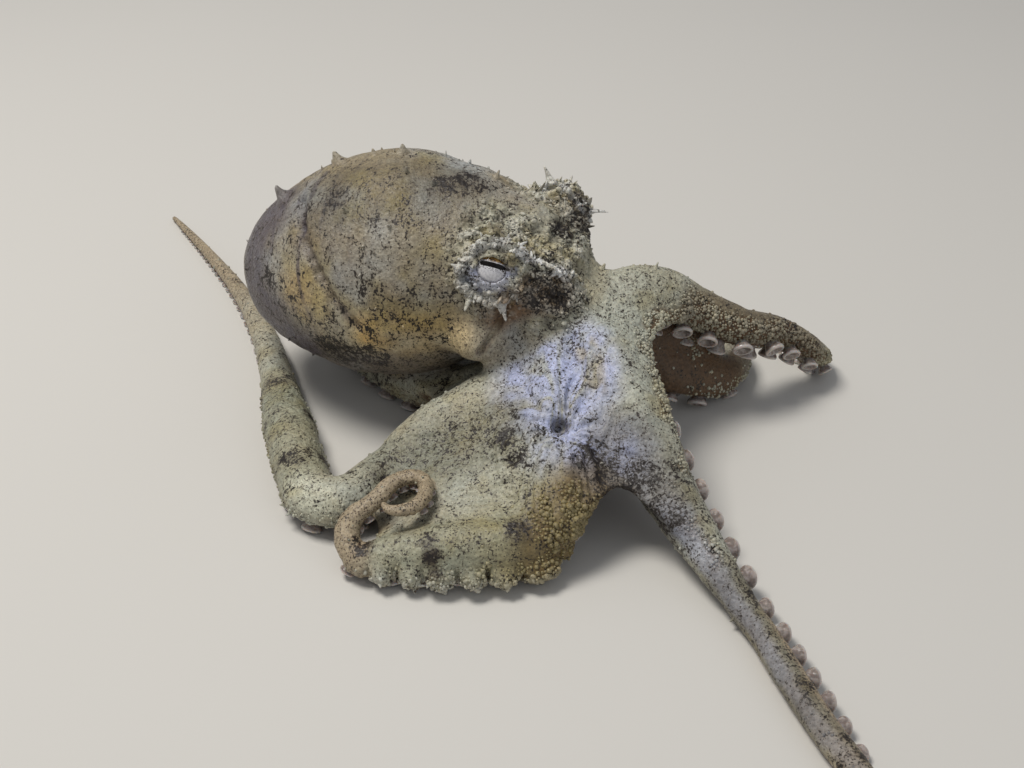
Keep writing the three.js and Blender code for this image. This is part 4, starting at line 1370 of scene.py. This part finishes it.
def add_suckers(material):
    roots, outs, sizes = (sum(parts, []) for parts in zip(*(sucker_rows(arm) for arm in arms.values())))
    roots, outs, sizes = np.array(roots), np.array(outs), np.array(sizes)
    count = len(roots)
    vertices, faces = plant(SUCKER, roots, outs, sizes, SUCKER_DEPTH * sizes, np.zeros((count, 3)))
    vertices[:, 2] = np.maximum(vertices[:, 2], 0)
    made = make_object("suckers", vertices, faces, material)
    shape = SUCKER[0]
    cup = np.hypot(shape[:, 0], shape[:, 1]) * (shape[:, 2] > 0.4)
    rim = smooth_step(0.72, 0.84, cup) * (shape[:, 2] > 0.7)
    store(made, rim=np.tile(rim, count))
    across = math.ceil(math.sqrt(count))
    cell = np.stack([np.arange(count) % across, np.arange(count) // across], -1)
    spread = shape[:, :2] * (1.0 - 0.4 * shape[:, 2:]) * 0.42
    places = (cell[:, None] + 0.5 + spread[None]) / across
    set_bake_map(made, places.reshape(-1, 2))


# Materials


class Graph:
    """Short ways to add nodes to a material."""

    def __init__(self, name):
        self.material = bpy.data.materials.new(name)
        self.material.use_nodes = True
        self.tree = self.material.node_tree
        self.place = self.node("ShaderNodeTexCoord").outputs["Object"]

    def fill(self, made, inputs):
        """Gives a node its inputs, each from another node or as a constant."""
        for key, value in dict(inputs).items():
            if isinstance(value, bpy.types.NodeSocket):
                self.tree.links.new(value, made.inputs[key])
            else:
                made.inputs[key].default_value = value

    def node(self, kind, inputs=(), **settings):
        made = self.tree.nodes.new(kind)
        for key, value in settings.items():
            setattr(made, key, value)
        self.fill(made, inputs)
        return made

    def attribute(self, name, output="Fac"):
        return self.node("ShaderNodeAttribute", attribute_name=name).outputs[output]

    def cloud(self, place, scale, detail=2.0, roughness=0.5):
        """Noise from 0 to 1."""
        inputs = {"Vector": place, "Scale": scale, "Detail": detail, "Roughness": roughness}
        return self.node("ShaderNodeTexNoise", inputs).outputs["Fac"]

    def cells(self, place, scale, randomness=1.0, feature="F1"):
        inputs = {"Vector": place, "Scale": scale, "Randomness": randomness}
        return self.node("ShaderNodeTexVoronoi", inputs, feature=feature).outputs

    def math(self, operation, a, b):
        return self.node("ShaderNodeMath", {0: a, 1: b}, operation=operation).outputs[0]

    def vector(self, operation, a, b):
        return self.node("ShaderNodeVectorMath", {0: a, 1: b}, operation=operation).outputs[0]

    def weigh(self, total, *terms):
        """A constant plus values, each times its weight."""
        for value, weight in terms:
            total = self.math("ADD", total, self.math("MULTIPLY", value, weight))
        return total

    def ramp(self, value, lo, hi, to_lo=0.0, to_hi=1.0):
        """Value from lo to hi taken smoothly to to_lo and to_hi."""
        inputs = {"Value": value, "From Min": lo, "From Max": hi, "To Min": to_lo, "To Max": to_hi}
        return self.node("ShaderNodeMapRange", inputs, interpolation_type="SMOOTHSTEP").outputs[0]

    def mix(self, share, a, b, blend="MIX"):
        inputs = {0: share, 6: a, 7: b}
        return self.node("ShaderNodeMix", inputs, data_type="RGBA", blend_type=blend).outputs[2]

    def bump(self, height, strength, distance):
        inputs = {"Height": height, "Strength": strength, "Distance": distance}
        return self.node("ShaderNodeBump", inputs).outputs["Normal"]

    def finish(self, inputs):
        """The material, once its shader has its inputs."""
        self.fill(self.tree.nodes["Principled BSDF"], inputs)
        return self.material


def flesh_material(name):
    """Skin: its ground colour from the markings, with fine dots, dark clusters in a net, and grain."""
    g = Graph(name)
    mm = g.vector("MULTIPLY", g.place, (1000, 1000, 1000))
    warp = g.node("ShaderNodeTexNoise", {"Vector": mm, "Scale": 0.9, "Detail": 3.0}).outputs["Color"]
    bend = g.vector("SUBTRACT", warp, (0.5, 0.5, 0.5))
    bent = g.vector("ADD", mm, g.vector("MULTIPLY", bend, (2.2, 2.2, 2.2)))

    ground = g.attribute("ground", "Color")
    speckle, freckle, streak = g.attribute("speckle"), g.attribute("freckle"), g.attribute("streak")
    mottle = g.cloud(mm, 2.2, 4.0, 0.6)
    light = g.mix(g.ramp(mottle, 0.35, 0.65), (0.80, 0.79, 0.78, 1), (1.2, 1.19, 1.17, 1))
    colour = g.mix(1.0, ground, light, "MULTIPLY")

    net = g.ramp(g.cells(bent, 0.5, feature="DISTANCE_TO_EDGE")["Distance"], 0.0, 0.13, 1.0, 0.0)
    clump = g.cloud(bent, 0.6, 2.0)
    blots = g.cloud(mm, 3.3, 5.0, 0.75)
    dashes = g.cloud(g.vector("MULTIPLY", mm, (1.0, 0.45, 0.38)), 3.0, 5.0, 0.72)
    share = g.math("MULTIPLY", streak, 0.6)
    blots = g.node("ShaderNodeMix", {0: share, 2: blots, 3: dashes}).outputs[0]
    dark = g.weigh(-0.2, (blots, 1.0), (net, 0.11), (clump, 0.26), (speckle, 0.16))
    stain = g.math("MULTIPLY", g.ramp(dark, 0.5, 0.66), 0.3)
    colour = g.mix(stain, colour, (0.12, 0.08, 0.04, 1))

    dots = g.cells(mm, 3.5, 0.85)
    tone = g.node("ShaderNodeSeparateColor", {0: dots["Color"]}).outputs[0]
    size = g.weigh(0.04, (speckle, 0.16), (tone, 0.16), (g.ramp(dark, 0.56, 0.66), 0.46))
    dot = g.ramp(g.math("SUBTRACT", size, dots["Distance"]), -0.05, 0.04)
    colour = g.mix(g.math("MULTIPLY", dot, 0.92), colour, (0.022, 0.015, 0.01, 1))
    colour = g.mix(g.math("MULTIPLY", g.ramp(dark, 0.655, 0.695), 0.93), colour, (0.012, 0.008, 0.006, 1))
    spot = g.ramp(g.cells(mm, 3.1, 0.8)["Distance"], 0.2, 0.36, 1.0, 0.0)
    spot = g.math("MULTIPLY", g.math("MULTIPLY", spot, freckle), 0.8)
    colour = g.mix(spot, colour, (0.05, 0.022, 0.012, 1))

    fine = g.cloud(mm, 5.0, 3.0)
    grain = g.cells(mm, 2.6, feature="SMOOTH_F1")["Distance"]
    height = g.math("SUBTRACT", g.math("MULTIPLY", fine, 0.8), grain)
    return g.finish({
        "Base Color": colour,
        "Roughness": g.ramp(fine, 0.3, 0.7, 0.38, 0.62),
        "Normal": g.bump(height, strength=0.6, distance=0.00018),
        "Specular IOR Level": 0.45,
        "Subsurface Weight": 0.1,
        "Subsurface Radius": (1.0, 0.7, 0.5),
        "Subsurface Scale": 0.0005,
    })


def sucker_material():
    """Suckers: translucent, pale at the rim and brownish in the cup."""
    g = Graph("sucker")
    mottle = g.cloud(g.place, 1800.0)
    base = g.mix(g.ramp(mottle, 0.35, 0.65), (0.21, 0.17, 0.15, 1), (0.38, 0.33, 0.3, 1))
    return g.finish({
        "Base Color": g.mix(g.attribute("rim"), base, (0.52, 0.49, 0.46, 1)),
        "Roughness": g.ramp(mottle, 0.3, 0.7, 0.18, 0.32),
        "Normal": g.bump(mottle, strength=0.3, distance=0.0001),
        "Subsurface Weight": 0.6,
        "Subsurface Radius": (1.0, 0.6, 0.4),
        "Subsurface Scale": 0.0008,
    })


def eyeball_material():
    """The eyeball's silver and gold, speckled."""
    g = Graph("eyeball")
    veins = g.cloud(g.place, 3500.0, 3.0)
    silver = g.mix(g.ramp(veins, 0.3, 0.7), (0.56, 0.55, 0.58, 1), (0.76, 0.75, 0.76, 1))
    size = g.math("MULTIPLY", g.attribute("shade"), 0.5)
    dot = g.ramp(g.math("SUBTRACT", size, g.cells(g.place, 7000.0)["Distance"]), -0.05, 0.05)
    silver = g.mix(dot, silver, (0.05, 0.035, 0.03, 1))
    amber = g.mix(g.ramp(veins, 0.4, 0.6), (0.10, 0.045, 0.012, 1), (0.42, 0.24, 0.07, 1))
    return g.finish({
        "Base Color": g.mix(g.attribute("gold"), silver, amber),
        "Roughness": 0.14,
        "Normal": g.bump(veins, strength=0.15, distance=0.00005),
        "Coat Weight": 0.6,
        "Coat Roughness": 0.04,
    })


def pupil_material():
    """The black of the slit."""
    g = Graph("pupil")
    black = g.mix(g.cloud(g.place, 3000.0), (0.003, 0.003, 0.004, 1), (0.012, 0.009, 0.008, 1))
    return g.finish({"Base Color": black, "Roughness": 0.3, "Specular IOR Level": 0.15})


# Eyes


EYEBALL = bud(96, [(math.sin(tilt), math.cos(tilt)) for tilt in np.linspace(math.pi, 0, 65)])
SLIT_PLATE = bud(64, [(0, -1), (0.5, -1), (1, -1), (1, 0), (0.85, 0.6), (0.5, 0.9), (0, 1)])


def add_eyeball(side, eye, material):
    local, faces = EYEBALL
    swell = 1 + 0.03 * smooth_step(0.8, 1, local[:, 2:])
    vertices = eye_centre(eye) + EYE_RADIUS * swell * (local @ np.array(eye_axes(eye)))
    made = make_object("eyeball_" + side, vertices, faces, material)
    u, v = EYE_RADIUS * local[:, 0], EYE_RADIUS * local[:, 1]
    above = v - SLIT["raised"]
    bow = SLIT["bow"] * (u / SLIT["across"]) ** 2
    gold = smooth_step(0.3, 0.4, above + bow) * (local[:, 2] > 0)
    shade = 0.75 * np.exp(-((above + 0.4) ** 2) / 0.12) + 0.6 * smooth_step(0.9, 1.5, np.hypot(u, v))
    store(made, gold=gold, shade=shade)
    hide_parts("eye_" + side)


def add_pupil(side, eye, material):
    """The black slit: a thin plate sunk in the eyeball's surface."""
    plate, faces = SLIT_PLATE
    reach = np.hypot(plate[:, 0], plate[:, 1])
    turn = np.arctan2(plate[:, 1], plate[:, 0])
    s = reach * np.sign(np.cos(turn)) * np.abs(np.cos(turn)) ** 0.4
    x = SLIT["across"] * s
    y = SLIT["raised"] + SLIT["up"] * reach * np.sin(turn) - SLIT["bow"] * s * s
    level = plate[:, 2]
    depth = 1.034 * EYE_RADIUS + np.where(level < 0, 0.1, 0.02) * level
    local = np.stack([x, y, np.sqrt(depth**2 - x * x - y * y)], -1)
    make_object("pupil_" + side, eye_centre(eye) + local @ np.array(eye_axes(eye)), faces, material)


# Assembly

# The shift from this script's own frame to that of model.glb, found from an eye
eye_lo, eye_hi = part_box("eye_right")
SHIFT = np.array((eye_lo + eye_hi) / 2) / MM - eye_centre(EYE_RIGHT)


def grow_skin():
    whole, body = grow()
    vertices, quads = surface_net(whole.values, whole.axes)
    for _ in range(2):
        vertices = vertices + 0.5 * (neighbours_mean(vertices, quads) - vertices)
    survey = Survey(vertices, whole, body)
    normals = normals_of(vertices, quads)
    vertices = vertices + normals * skin_relief(survey)[:, None]
    vertices = vertices + scallops(survey, normals)
    vertices[:, 2] = np.maximum(vertices[:, 2], 0)
    survey.points = vertices
    return vertices, quads, survey, normals_of(vertices, quads)


flesh = flesh_material("skin")
vertices, quads, survey, normals = grow_skin()
skin = make_object("skin", vertices, quads, flesh)
marks = markings(survey, normals)
look = {"material": flesh, "points": vertices, "normals": normals, "places": unwrap(survey), "coat": marks[1]}
look["layers"] = dict(zip(("speckle", "freckle", "streak"), marks[2:]))
paint(skin, marks[0], **look["layers"])
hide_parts(*(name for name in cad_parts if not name.startswith("eye")))
for add in (add_granules, add_head_warts, add_papillae):
    add(survey, look)
add_tatters(look)
add_horns(look)
add_suckers(sucker_material())
silver_and_gold, black = eyeball_material(), pupil_material()
for side, eye in (("right", EYE_RIGHT), ("left", EYE_LEFT)):
    add_eyeball(side, eye, silver_and_gold)
    add_pupil(side, eye, black)

# Stage, camera and light


def add_camera():
    back = np.array([0, -math.cos(ELEVATION), math.sin(ELEVATION)])
    camera = place_object("camera", bpy.data.cameras.new("camera"))
    camera.data.lens = LENS
    camera.data.clip_start = 0.01
    camera.location = (AIM + DISTANCE * back + SHIFT) * MM
    camera.rotation_euler = Vector(-back).to_track_quat("-Z", "Y").to_euler()
    bpy.context.scene.camera = camera


def add_floor():
    mesh = bpy.data.meshes.new("floor")
    mesh.from_pydata([(-2, -2, 0), (2, -2, 0), (2, 2, 0), (-2, 2, 0)], [], [(0, 1, 2, 3)])
    g = Graph("floor")
    pale = g.mix(g.cloud(g.place, 4.0), (0.60, 0.58, 0.54, 1), (0.66, 0.64, 0.60, 1))
    mesh.materials.append(g.finish({"Base Color": pale, "Roughness": 0.9}))
    place_object("floor", mesh)


def add_lamp(name, place, size, power, colour):
    lamp = bpy.data.lights.new(name, "AREA")
    lamp.size, lamp.energy, lamp.color = size, power, colour
    light = place_object(name, lamp)
    light.location = place
    light.rotation_euler = (-Vector(place)).to_track_quat("-Z", "Y").to_euler()


def add_world():
    world = bpy.data.worlds.new("studio")
    world.use_nodes = True
    sky = world.node_tree.nodes["Background"].inputs
    sky["Color"].default_value, sky["Strength"].default_value = (0.9, 0.93, 1, 1), 0.3
    bpy.context.scene.world = world


add_camera()
add_floor()
add_lamp("key", (-0.16, 0.02, 0.42), size=0.16, power=1.5, colour=(1, 0.97, 0.92))
add_lamp("fill", (0.3, -0.35, 0.3), size=0.4, power=0.25, colour=(0.9, 0.95, 1))
add_world()
bpy.context.scene.view_settings.view_transform = "Standard"
